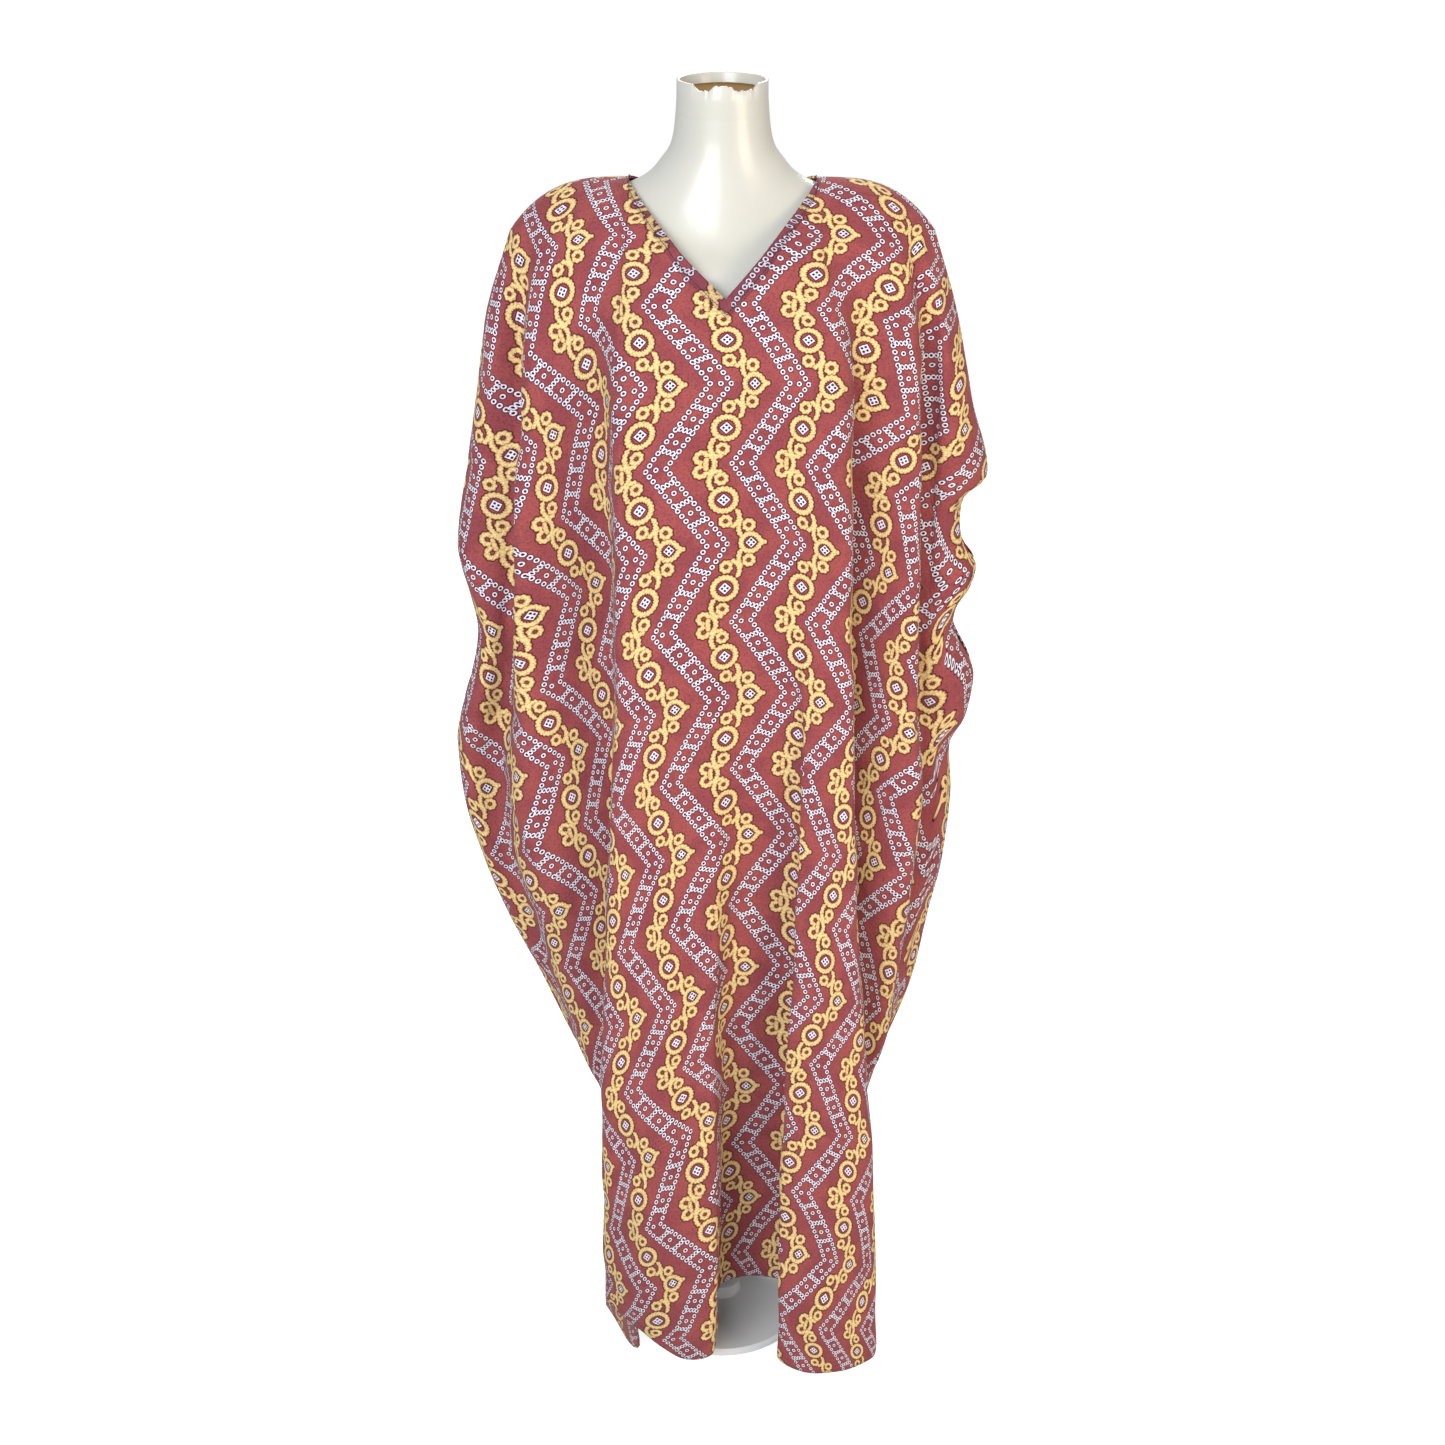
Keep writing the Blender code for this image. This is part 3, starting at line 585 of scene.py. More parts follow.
def stroke_group():
    """A curved stroke of the gold cord, scalloped along its edges."""
    group, start, end = new_group(
        "cord_stroke",
        (
            ("Place", "vector"),
            ("Centre", "vector"),
            ("Facing", "vector"),
            ("Radius", "value"),
            ("Half width", "value"),
            ("Sweep", "value"),
            ("Point", "value"),
        ),
        (("Distance", "value"), ("Dash", "value")),
    )
    place, centre, facing, radius, half, sweep, point = start[:7]
    t = Tree(group)
    arm = t.vector("SUBTRACT", place, centre)
    reach = t.vector("LENGTH", arm, out=1)
    parts = t.split(arm)
    turn = t.math("ARCTAN2", parts[1], parts[0])
    lean = t.positive(t.minus(point, t.size(turn)))
    off = t.size(t.minus(t.times(reach, t.math("COSINE", lean)), radius))
    facing_reach = t.vector("DOT_PRODUCT", arm, facing, out=1)
    past = t.positive(t.minus(t.times(reach, sweep), facing_reach))
    run = t.times(turn, t.math("MAXIMUM", radius, SMALLEST_ARC))
    wave = t.math("COSINE", t.times(run, 2 * math.pi / SCALLOP_PITCH))
    distance = t.plus(t.minus(off, half), t.times(past, END_FALL))
    distance = t.math("MULTIPLY_ADD", wave, SCALLOP_DEPTH, distance)
    t.feed(end[0], distance)
    line = t.minus(1.0, t.times(off, DASH_FALL), clamp=True)
    line = t.times(line, t.math("MULTIPLY_ADD", wave, 0.5, 0.5))
    t.feed(end[1], t.minus(line, past, clamp=True))
    return group


def print_group():
    """The print: gold scroll chains, and ladders of beads between them."""
    group, start, end = new_group(
        "kaftan_print", (("Cloth", "vector"),), (("Colour", "colour"), ("Ink", "value"))
    )
    t = Tree(group)
    parts = t.split(start[0])
    across = t.times(parts[0], PER_METRE)
    down = t.times(parts[1], PER_METRE)
    w = t.math("PINGPONG", down, HALF_REPEAT)
    half_pitch = CHAIN_PITCH / 2
    chain_u = t.math("WRAP", across, half_pitch, -half_pitch)
    place = t.add("ShaderNodeCombineXYZ", chain_u, w)
    stroke = stroke_group()
    distances = []
    dashes = None
    for cx, cy, radius, half_width, facing, sweep, point in CHAIN_STROKES:
        angle = math.radians(facing)
        out = t.group(
            stroke,
            place=place,
            centre=(cx, cy, 0.0),
            facing=(math.cos(angle), math.sin(angle), 0.0),
            radius=radius,
            half_width=half_width,
            sweep=math.cos(math.radians(sweep)),
            point=math.radians(point),
        )
        distances.append(out[0])
        dashes = out[1] if dashes is None else t.math("MAXIMUM", dashes, out[1])
    chain = t.least(distances)

    diamonds = []
    spots = []
    for cx, cy, size in DIAMONDS:
        arm = t.vector("ABSOLUTE", t.vector("SUBTRACT", place, (cx, cy, 0.0)))
        side = t.split(arm)
        diamonds.append(t.minus(t.plus(side[0], side[1]), size))
        for spot_place in ((SPOT_AWAY, 0.0, 0.0), (0.0, SPOT_AWAY, 0.0)):
            spots.append(t.vector("LENGTH", t.vector("SUBTRACT", arm, spot_place), out=1))
    diamond = t.least(diamonds)
    spot = t.minus(t.least(spots), SPOT_RADIUS)

    ladder_u = t.math("WRAP", t.minus(across, half_pitch), half_pitch, -half_pitch)
    slant = -2 * LADDER_SWING / HALF_REPEAT
    zigzag = t.math("MULTIPLY_ADD", w, slant, LADDER_SWING)
    off = t.minus(ladder_u, zigzag)
    lean = math.cos(math.atan2(2 * LADDER_SWING, HALF_REPEAT))
    rail = t.times(t.minus(t.size(off), LADDER_HALF), lean)
    step = HALF_REPEAT / BEADS_PER_LEG
    signed = t.times(rail, t.math("SIGN", off))
    slip = t.times(signed, -math.sqrt(1 - lean * lean))
    bead_run = t.math("DIVIDE", t.math("WRAP", t.plus(w, slip), step / 2, -step / 2), lean)
    rail_bead = t.length(rail, bead_run)
    first, apart, last = RUNGS
    rung = t.math("DIVIDE", t.minus(t.math("DIVIDE", w, HALF_REPEAT), first), apart)
    rung = t.positive(t.math("MINIMUM", t.math("ROUND", rung), last))
    rung = t.math("MULTIPLY_ADD", rung, apart * HALF_REPEAT, first * HALF_REPEAT)
    rung_off = t.minus(t.minus(w, rung), t.times(off, RUNG_SLANT))
    tread = LADDER_HALF / 2
    tread_run = t.math("WRAP", off, tread / 2, -tread / 2)
    past = t.positive(t.minus(t.size(off), LADDER_HALF))
    rung_bead = t.plus(t.length(rung_off, tread_run), past)
    rings = []
    for share in LONE_BEADS:
        ring_down = t.minus(w, share * HALF_REPEAT)
        rings.append(t.length(t.math("MULTIPLY_ADD", ring_down, slant, off), ring_down))
    ring = t.least(rings)
    bead = t.minus(t.least([rail_bead, ring]), BEAD_RADIUS)
    bead = t.least([bead, t.minus(rung_bead, RUNG_BEAD_RADIUS)])
    bead_dark = t.minus(t.least([rail_bead, rung_bead, ring]), BEAD_MIDDLE)

    cloud = t.noise(start[0], 26.0, 3.0, 0.55)
    colour = t.blend(t.inside(t.minus(cloud, 0.5), 0.12), GROUND, GROUND_DARK)
    colour = t.blend(0.55, GROUND, colour)
    edges = []
    for shape, width in (
        (chain, CHAIN_OUTLINE),
        (bead, BEAD_OUTLINE),
        (diamond, DIAMOND_OUTLINE),
    ):
        edges.append(t.minus(shape, width))
    colour = t.blend(t.inside(t.least(edges), 0.35), colour, OUTLINE)
    colour = t.blend(t.inside(diamond, 0.3), colour, BEAD)
    spot = t.times(t.inside(spot, 0.25), t.inside(diamond, 0.3))
    colour = t.blend(spot, colour, BEAD_SPOT)
    gold = t.blend(t.inside(t.plus(chain, 0.7), 0.5), GOLD_EDGE, GOLD)
    gold = t.blend(dashes, gold, GOLD_PALE)
    colour = t.blend(t.inside(bead, 0.3), colour, BEAD)
    colour = t.blend(t.inside(bead_dark, 0.25), colour, BEAD_SPOT)
    colour = t.blend(t.inside(chain, 0.25), colour, gold)
    t.feed(end[0], colour)
    t.feed(end[1], t.inside(t.least([chain, bead]), 0.4))
    return group


# The weave: radians of thread in a metre, and its threads' and puckers' height in metres
THREADS = 5200.0
THREAD_RELIEF = 0.00003
PUCKER_RELIEF = 0.0022


def weave_group():
    """Plain-woven cotton: its threads and puckers in relief, and darker specks."""
    group, start, end = new_group(
        "cotton_weave",
        (("Cloth", "vector"), ("Thread relief", "value"), ("Pucker relief", "value")),
        (("Height", "value"), ("Speck", "value")),
    )
    t = Tree(group)
    parts = t.split(t.vector("MULTIPLY", start[0], (THREADS, THREADS, 0.0)))
    weave = t.times(t.math("SINE", parts[0]), t.math("SINE", parts[1]))
    pucker_place = t.vector("MULTIPLY", start[0], (1.0, 0.5, 0.0))
    pucker = t.noise(pucker_place, 110.0, 4.0, 0.6)
    crinkle = t.noise(start[0], 520.0, 2.0, 0.6)
    pucker = t.math("MULTIPLY_ADD", crinkle, 0.25, pucker)
    height = t.math("MULTIPLY_ADD", weave, start[1], t.times(pucker, start[2]))
    t.feed(end[0], height)
    fine = t.noise(start[0], 430.0, 2.0, 0.7)
    speck = t.math("MULTIPLY_ADD", fine, 5.0, -2.3, clamp=True)
    t.feed(end[1], speck)
    return group


# Plain surfaces: how dark they cloud, and how much their roughness varies
WORN = 0.88
GRAIN = 0.12


def finish_group():
    """A plain surface's slight clouding of colour and of gloss."""
    group, start, end = new_group(
        "clouded_finish",
        (("Place", "vector"), ("Colour", "colour"), ("Worn colour", "colour"), ("Roughness", "value")),
        (("Colour", "colour"), ("Roughness", "value")),
    )
    t = Tree(group)
    cloud = t.noise(start[0], 9.0, 4.0, 0.6)
    t.feed(end[0], t.blend(cloud, start[1], start[2]))
    grain = t.noise(start[0], 160.0, 3.0, 0.6)
    t.feed(end[1], t.math("MULTIPLY_ADD", grain, GRAIN, start[3]))
    return group


def set_shader(tree, **values):
    """Set or feed some of the inputs of a material's shader."""
    shader = tree.tree.nodes["Principled BSDF"]
    for label, value in values.items():
        tree.feed(shader.inputs[label.replace("_", " ")], value)


def new_material(name, **values):
    """A material and its tree, with some of its shader's inputs set."""
    material = bpy.data.materials.new(name)
    material.use_nodes = True
    tree = Tree(material.node_tree)
    set_shader(tree, **values)
    return material, tree


def cloth_material(name, print_tree, weave_tree, painted_shade_colour, painted_shade_share):
    """Printed plain-weave cotton: the print, a fine weave, small puckers, and painted shade mixed over
    the print by a share.
    """
    material, t = new_material(
        name, Sheen_Weight=0.05, Sheen_Roughness=0.45, Specular_IOR_Level=0.2
    )
    uv = t.add("ShaderNodeUVMap", uv_map="cloth")
    print_out = t.group(print_tree, cloth=uv)
    weave_out = t.group(
        weave_tree, cloth=uv, thread_relief=THREAD_RELIEF, pucker_relief=PUCKER_RELIEF
    )
    colour = t.blend(t.times(weave_out[1], SPECK_SHARE), print_out[0], SPECK)
    # Painted shade: the print mixed by a share towards a darker, duller colour; none on the face
    colour = t.blend(painted_shade_share, colour, painted_shade_colour)
    bump = t.add("ShaderNodeBump", 0.8, 1.0)
    t.feed(bump.node.inputs["Height"], weave_out[0])
    rough = t.math("MULTIPLY_ADD", print_out[1], INK_SHINE, COTTON_ROUGHNESS)
    set_shader(t, Base_Color=colour, Normal=bump, Roughness=rough)
    return material


def plain_material(name, finish_tree, colour, roughness, coat=0.0):
    """A material of one colour with faint clouding and unevenness."""
    material, t = new_material(name, Coat_Weight=coat, Coat_Roughness=0.12)
    worn = tuple(value * WORN for value in colour[:3]) + (1.0,)
    out = t.group(
        finish_tree,
        place=t.add("ShaderNodeTexCoord", out=3),
        colour=colour,
        worn_colour=worn,
        roughness=roughness - GRAIN / 2,
    )
    set_shader(t, Base_Color=out[0], Roughness=out[1])
    return material


def eased(share, a, b):
    """Numbers a turned smoothly into b as a share goes from 0 to 1."""
    share = np.clip(share, 0.0, 1.0)
    share = share * share * (3 - 2 * share)
    return a + (b - a) * share


# Creases in each panel, placed on the front view, in millimetres: points
# along each from one end to the other (x, z), half width at each end, and how far
# its middle stands out, or in where that is below nought
CREASES = {
    "front": (
        (((-196, 1345), (-201, 1285), (-203, 1215)), 6, 7, -6),
        (((-185, 1350), (-189, 1285), (-190, 1210)), 8, 9, 3.5),
        (((-214, 1170), (-220, 1090), (-228, 1000)), 6, 8, -6.5),
        (((-202, 1175), (-207, 1090), (-213, 1000)), 8, 10, 3.5),
        (((-262, 918), (-238, 917), (-206, 930)), 6, 9, -4),
        (((-240, 880), (-200, 760), (-168, 600), (-152, 430)), 12, 14, 4.5),
        (((-228, 800), (-188, 660), (-162, 500)), 9, 12, -4.5),
        (((205, 1360), (209, 1250), (213, 1130), (216, 1020)), 7, 8, -7),
        (((228, 1250), (234, 1180), (240, 1110)), 9, 10, 4.5),
        (((196, 930), (214, 921), (234, 915)), 6, 8, -4),
        (((222, 870), (206, 740), (192, 600), (184, 450)), 12, 13, 4.5),
        (((212, 800), (198, 660), (190, 520)), 8, 10, -4),
        (((-112, 1395), (-99, 1320), (-100, 1230)), 10, 12, 3),
        (((114, 1392), (106, 1320), (110, 1230)), 10, 12, 3),
        (((-10, 1352), (-32, 1270), (-42, 1150)), 10, 14, 2.2),
        (((18, 1352), (42, 1270), (54, 1150)), 10, 14, 2),
        (((-80, 900), (-88, 700), (-94, 480)), 10, 12, -3),
        (((-48, 780), (-54, 560), (-64, 330)), 10, 13, 3),
        (((-112, 560), (-118, 400), (-120, 220)), 9, 12, -3.5),
        (((122, 820), (132, 620), (140, 400)), 10, 13, -3),
        (((102, 560), (102, 380), (104, 200)), 9, 12, -3),
        (((34, 700), (36, 500), (36, 280)), 10, 12, 3.5),
    ),
    "back": (
        (((-120, 1390), (-132, 1250), (-128, 1080)), 12, 14, 4),
        (((118, 1392), (127, 1240), (124, 1070)), 11, 14, 3.8),
        (((-200, 1330), (-207, 1200), (-216, 1060)), 7, 9, -6),
        (((202, 1320), (209, 1190), (217, 1060)), 7, 9, -6),
        (((-40, 1330), (-53, 1150), (-50, 950)), 12, 15, 3.5),
        (((46, 1325), (55, 1140), (57, 940)), 12, 14, 3.2),
        (((-258, 925), (-234, 918), (-204, 926)), 6, 9, -4),
        (((198, 936), (214, 926), (232, 922)), 6, 8, -3.8),
        (((-236, 870), (-197, 740), (-166, 580), (-150, 420)), 12, 14, 4.5),
        (((220, 860), (205, 730), (192, 590), (184, 440)), 12, 13, 4.2),
        (((-80, 780), (-87, 570), (-90, 340)), 10, 13, -3.5),
        (((86, 760), (93, 560), (98, 340)), 10, 13, -3.2),
        (((0, 720), (5, 500), (2, 300)), 11, 13, 3.5),
    ),
}

# Slow unevenness of the hanging cloth: waves across and down, in radians per
# metre, a phase, and how far each moves the cloth
WAVES = (
    (61.0, 17.0, 0.4, 0.0007),
    (-47.0, 29.0, 2.1, 0.0006),
    (33.0, -41.0, 4.4, 0.0006),
    (118.0, 36.0, 1.3, 0.0004),
    (-96.0, 71.0, 5.2, 0.0003),
)
# Part of half a wave that a crease swells and fades through
CREASE_START = 0.12
CREASE_SPAN = 0.76
CREASE_ROUND = 0.8
# Creases and waves ease in over this width from the edges. The hem's width, the
# extra cloth in it, and how wide the step up to it is
EDGE_EASE = 0.022
HEM_WIDTH = 0.013
HEM_EXTRA = 0.0009
HEM_STEP = 0.003
# The print evens out from this far across, over a width, where deep folds end it
EVEN_FROM = 0.22
EVEN_OVER = 0.10
# A sleeve's edge is stitched where half its gap is wider than this, at a column
# found among this many beside the edge
OPEN_GAP = 0.004
EDGE_COLUMNS = 60


def seamed_normals(grid, face):
    """Outward normals, turned square to the seams where front meets back."""
    normals = unit(np.cross(np.gradient(grid, axis=1), np.gradient(grid, axis=0)) * -face)
    for i, side in ((0, "left"), (-1, "right")):
        sewn = sleeve_gap(grid[i, :, 2], side) <= 0.0
        normals[i, sewn, 1] = 0.0
    on_shoulder = np.abs(grid[:, 0, 1]) <= SEAM_HALF_GAP * 1.5
    normals[on_shoulder, 0, 1] = 0.0
    return unit(normals)


# How the print lies on the hanging cloth, which slips off its grain over the
# sleeves and into the folds. All in millimetres: the places across, and for some
# heights down the cloth, how far the print has moved across or down at each place
LAY_PLACES = (-400, -320, -250, -190, -140, -95, -50, 0, 50, 95, 140, 190, 250, 320, 400)
LAY_ACROSS = (
    (-230, (26, 27, 31, 36, 37, 30, 16, -1, -19, -33, -42, -45, -48, -50, -52)),
    (-160, (23, 22, 25, 28, 30, 24, 13, 1, -11, -23, -29, -32, -36, -39, -42)),
    (-90, (23, 19, 17, 16, 14, 9, 5, 1, -1, -5, -10, -17, -23, -26, -29)),
    (-20, (26, 18, 12, 10, 8, 6, 5, 3, 7, 9, 1, -8, -9, -11, -16)),
    (100, (26, 18, -2, 8, 15, 15, 14, 11, 14, 21, 23, 20, 21, 19, 11)),
    (250, (10, 2, -19, -3, 8, 13, 14, 13, 14, 18, 22, 30, 52, 43, 35)),
    (400, (-40, -48, -56, -31, -7, 7, 12, 12, 13, 19, 32, 54, 74, 56, 48)),
    (550, (-66, -74, -82, -48, -14, 4, 11, 10, 8, 12, 24, 51, 84, 77, 69)),
    (700, (-95, -103, -86, -42, -12, 2, 8, 7, 5, 4, 6, 23, 65, 80, 72)),
    (850, (-126, -108, -59, -13, 3, 4, 4, 0, -3, -3, -1, 4, 27, 73, 97)),
    (1000, (-135, -111, -53, -10, 2, -1, -6, -11, -13, -13, -13, -13, -2, 54, 78)),
    (1200, (-92, -68, -15, 1, -8, -11, -12, -13, -2, 5, 8, 11, 28, 68, 92)),
)
LAY_DOWN = (
    (-230, (-105, -87, -69, -52, -37, -24, -13, -6, -11, -22, -36, -49, -64, -79, -95)),
    (-160, (-109, -90, -72, -52, -33, -19, -9, -2, -6, -19, -36, -50, -66, -80, -96)),
    (-90, (-114, -94, -74, -50, -24, -5, -2, 0, 1, -9, -28, -47, -64, -78, -96)),
    (-20, (-118, -98, -76, -46, -17, 2, 9, 10, 10, 4, -13, -34, -57, -76, -96)),
    (100, (-126, -101, -78, -44, -14, 6, 14, 16, 15, 6, -9, -30, -53, -76, -101)),
    (250, (-142, -107, -78, -50, -22, -2, 10, 15, 16, 8, -7, -28, -54, -82, -114)),
    (400, (-159, -117, -85, -57, -29, -8, 5, 11, 11, 5, -6, -25, -49, -85, -131)),
    (550, (-176, -131, -97, -65, -39, -18, -3, 2, -2, -6, -14, -30, -53, -82, -142)),
    (700, (-185, -145, -110, -81, -59, -37, -20, -15, -18, -20, -25, -37, -59, -102, -165)),
    (850, (-192, -160, -131, -105, -78, -51, -32, -32, -36, -37, -39, -47, -71, -119, -173)),
    (1000, (-203, -177, -154, -130, -105, -82, -67, -59, -58, -58, -60, -64, -79, -120, -172)),
    (1200, (-232, -214, -200, -181, -155, -127, -105, -93, -88, -91, -99, -110, -125, -149, -183)),
)


def lay_shift(table, across, down):
    """How far the print has moved at some places on the cloth, in metres."""
    heights = [row[0] / PER_METRE for row in table]
    moves = np.array([row[1] for row in table]) / PER_METRE
    curves = np.array([Curve(zip(heights, column))(down) for column in moves.T])
    place = np.interp(across, np.array(LAY_PLACES) / PER_METRE, np.arange(len(LAY_PLACES)))
    i = np.clip(place.astype(int), 0, len(LAY_PLACES) - 2)
    w = place - i
    picks = []
    for k in (-1, 0, 1, 2):
        at = np.clip(i + k, 0, len(LAY_PLACES) - 1)
        picks.append(np.take_along_axis(curves, at[None], axis=0)[0])
    a, b, c, d = picks
    return cubic(b, c, (c - a) / 2, (d - b) / 2, w)


def evened(values, reach=14):
    """Values down the cloth, each the mean of those above and below it."""
    window = np.hanning(2 * reach + 3)[1:-1]
    padded = np.pad(values, ((0, 0), (reach, reach)), mode="edge")
    rows = [np.convolve(row, window / window.sum(), mode="valid") for row in padded]
    return np.array(rows)


def crease_path(points, count=40):
    """Even points on a smooth path through a few points, and their shares."""
    knots = np.concatenate([[0.0], np.cumsum(np.linalg.norm(np.diff(points, axis=0), axis=1))])
    at = np.linspace(0.0, knots[-1], count)
    path = [Curve(zip(knots, values))(at) for values in points.T]
    return np.stack(path, axis=1), at / knots[-1]


def crease_heights(label, grid):
    """How far the creases move each point of a panel out or in."""
    heights = np.zeros(grid.shape[:2])
    for points, *sizes in CREASES[label]:
        start_width, end_width, height = np.array(sizes) / PER_METRE
        path, shares = crease_path(np.array(points) / PER_METRE)
        away = np.full(heights.shape, 1e9)
        share = np.zeros(heights.shape)
        for spot, at in zip(path, shares):
            gap = np.hypot(grid[:, :, 0] - spot[0], grid[:, :, 2] - spot[1])
            share = np.where(gap < away, at, share)
            away = np.minimum(away, gap)
        width = start_width + (end_width - start_width) * share
        swell = np.sin(math.pi * (CREASE_START + CREASE_SPAN * share)) ** CREASE_ROUND
        heights += height * swell * np.exp(-((away / width) ** 2))
    return heights


def unevenness(across, down):
    """Slow waves over the cloth."""
    heights = np.zeros(across.shape)
    for run_across, run_down, phase, size in WAVES:
        heights += size * np.sin(run_across * across + run_down * down + phase)
    return heights


class Cloth:
    """A panel's shaped cloth: its points, normals and print coordinates."""

    def __init__(self, label, folds, band_drop, centre):
        self.panel = Panel(label, folds)
        grid = self.panel.grid(band_drop)
        face = self.panel.face
        across, down = cloth_coordinates(grid, self.panel.column_of(centre) * COLUMNS_PER_FOLD)
        ease = eased(np.abs(across - across[:1]) / EDGE_EASE, 0.0, 1.0)
        ease = ease * eased(np.abs(across - across[-1:]) / EDGE_EASE, 0.0, 1.0)
        ease = ease * eased((down - down[:, :1]) / EDGE_EASE, 0.0, 1.0)
        heights = (crease_heights(label, grid) + unevenness(across, down)) * ease
        self.grid = self.clear_of_seam(grid + seamed_normals(grid, face) * heights[:, :, None])
        self.normals = seamed_normals(self.grid, face)
        self.raw_uv = np.stack([across, down], axis=2)
        outer = eased((np.abs(across) - EVEN_FROM) / EVEN_OVER, 0.0, 1.0)
        across = across + (evened(across) - across) * outer
        print_across = across + lay_shift(LAY_ACROSS, across, down)
        print_down = down + lay_shift(LAY_DOWN, across, down)
        self.uv = np.stack([print_across, print_down], axis=2)
        self.up_from_hem = down[:, -1:] - down

    def clear_of_seam(self, points):
        """Points kept on the panel's own side of the side seam."""
        face = self.panel.face
        seam = self.panel.seam(points[:, :, 2])
        points[:, :, 1] = seam + face * np.maximum(face * (points[:, :, 1] - seam), SEAM_HALF_GAP)
        return points

    def column(self, name):
        return self.panel.column_of(name) * COLUMNS_PER_FOLD

    def off(self, distance, columns=slice(None), rows=slice(None)):
        """The cloth's points moved out by a distance."""
        return self.grid[columns, rows] + self.normals[columns, rows] * distance

    def level_line(self, up, lift):
        """Points along the cloth at an even height above its hem."""
        line = []
        for i in range(len(self.grid)):
            climb = self.up_from_hem[i][::-1]
            here = self.off(lift, columns=i)[::-1]
            line.append([np.interp(up, climb, here[:, k]) for k in range(3)])
        return line

    def sleeve_line(self, edge, inward, lift):
        """Points down the cloth beside a sleeve's open edge."""
        side = "left" if edge == 0 else "right"
        across = self.raw_uv[:, :, 0]
        line = []
        for j in range(self.grid.shape[1]):
            if sleeve_gap(self.grid[edge, j, 2], side) < OPEN_GAP:
                continue
            inwards = slice(None, EDGE_COLUMNS) if edge == 0 else slice(-1, -EDGE_COLUMNS - 1, -1)
            away = np.abs(across[inwards, j] - across[edge, j])
            here = self.off(lift, rows=j)[inwards]
            line.append([np.interp(inward, away, here[:, k]) for k in range(3)])
        return line


def add_cloth_piece(cloth, name, materials):
    """The panel's shell, with its hem turned in and doubled."""
    doubled = eased((HEM_WIDTH - cloth.up_from_hem) / HEM_STEP + 0.5, 0.0, HEM_EXTRA)
    lining = cloth.clear_of_seam(cloth.grid - cloth.normals * (CLOTH_THICK + doubled)[:, :, None])
    mesh = shell_mesh(name, cloth.grid, lining, cloth.uv, not cloth.panel.is_front)
    piece = add_piece(name + "_cloth", mesh, materials)
    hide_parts(name)
    return piece


def add_band_piece(cloth, name, columns, material):
    """A neck band: a strip of the cloth turned to the face and laid on it."""
    rows = slice(0, BAND_ROWS + 1)
    under = cloth.off(BAND_LIFT, columns, rows)
    over = cloth.off(BAND_LIFT + BAND_THICK, columns, rows)
    mesh = shell_mesh(name, over, under, cloth.uv[columns, rows], not cloth.panel.is_front)
    piece = add_piece(name + "_cloth", mesh, [material, material])
    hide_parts(name)
    return piece


# Stitches: pitch, length and thickness in the neck band, and in the hem and cuffs,
# how far they lie off the cloth, below the hem's top and inside a sleeve's edge
NECK_STITCH = (0.0027, 0.0024, 0.0009)
HEM_STITCH = (0.0034, 0.0026, 0.0005)
STITCH_LIFT = 0.0001
HEM_STITCH_DROP = 0.002
CUFF_STITCH_IN = 0.010


def stitch_tree():
    """Geometry Nodes: one small thread after another along a line of points."""
    tree = bpy.data.node_groups.new("thread_stitches", "GeometryNodeTree")
    face = tree.interface
    face.new_socket("Geometry", in_out="OUTPUT", socket_type="NodeSocketGeometry")
    face.new_socket("Geometry", in_out="INPUT", socket_type="NodeSocketGeometry")
    for label in ("Pitch", "Length", "Thickness"):
        face.new_socket(label, in_out="INPUT", socket_type="NodeSocketFloat")
    face.new_socket("Thread", in_out="INPUT", socket_type="NodeSocketMaterial")
    nodes = {}
    for name, kind in (
        ("start", "NodeGroupInput"),
        ("end", "NodeGroupOutput"),
        ("line", "GeometryNodeMeshToCurve"),
        ("even", "GeometryNodeResampleCurve"),
        ("bead", "GeometryNodeMeshUVSphere"),
        ("size", "ShaderNodeCombineXYZ"),
        ("shape", "GeometryNodeTransform"),
        ("tangent", "GeometryNodeInputTangent"),
        ("aim", "FunctionNodeAlignRotationToVector"),
        ("place", "GeometryNodeInstanceOnPoints"),
        ("real", "GeometryNodeRealizeInstances"),
        ("finish", "GeometryNodeSetMaterial"),
    ):
        nodes[name] = tree.nodes.new(kind)
    nodes["even"].mode = "LENGTH"
    nodes["aim"].axis = "X"
    for label, value in (("Segments", 6), ("Rings", 4), ("Radius", 0.5)):
        nodes["bead"].inputs[label].default_value = value
    for source, output, target, socket in (
        ("start", "Geometry", "line", "Mesh"),
        ("line", "Curve", "even", "Curve"),
        ("start", "Pitch", "even", "Length"),
        ("start", "Length", "size", "X"),
        ("start", "Thickness", "size", "Y"),
        ("start", "Thickness", "size", "Z"),
        ("bead", "Mesh", "shape", "Geometry"),
        ("size", "Vector", "shape", "Scale"),
        ("tangent", "Tangent", "aim", "Vector"),
        ("even", "Curve", "place", "Points"),
        ("shape", "Geometry", "place", "Instance"),
        ("aim", "Rotation", "place", "Rotation"),
        ("place", "Instances", "real", "Geometry"),
        ("real", "Geometry", "finish", "Geometry"),
        ("start", "Thread", "finish", "Material"),
        ("finish", "Geometry", "end", "Geometry"),
    ):
        tree.links.new(nodes[source].outputs[output], nodes[target].inputs[socket])
    return tree


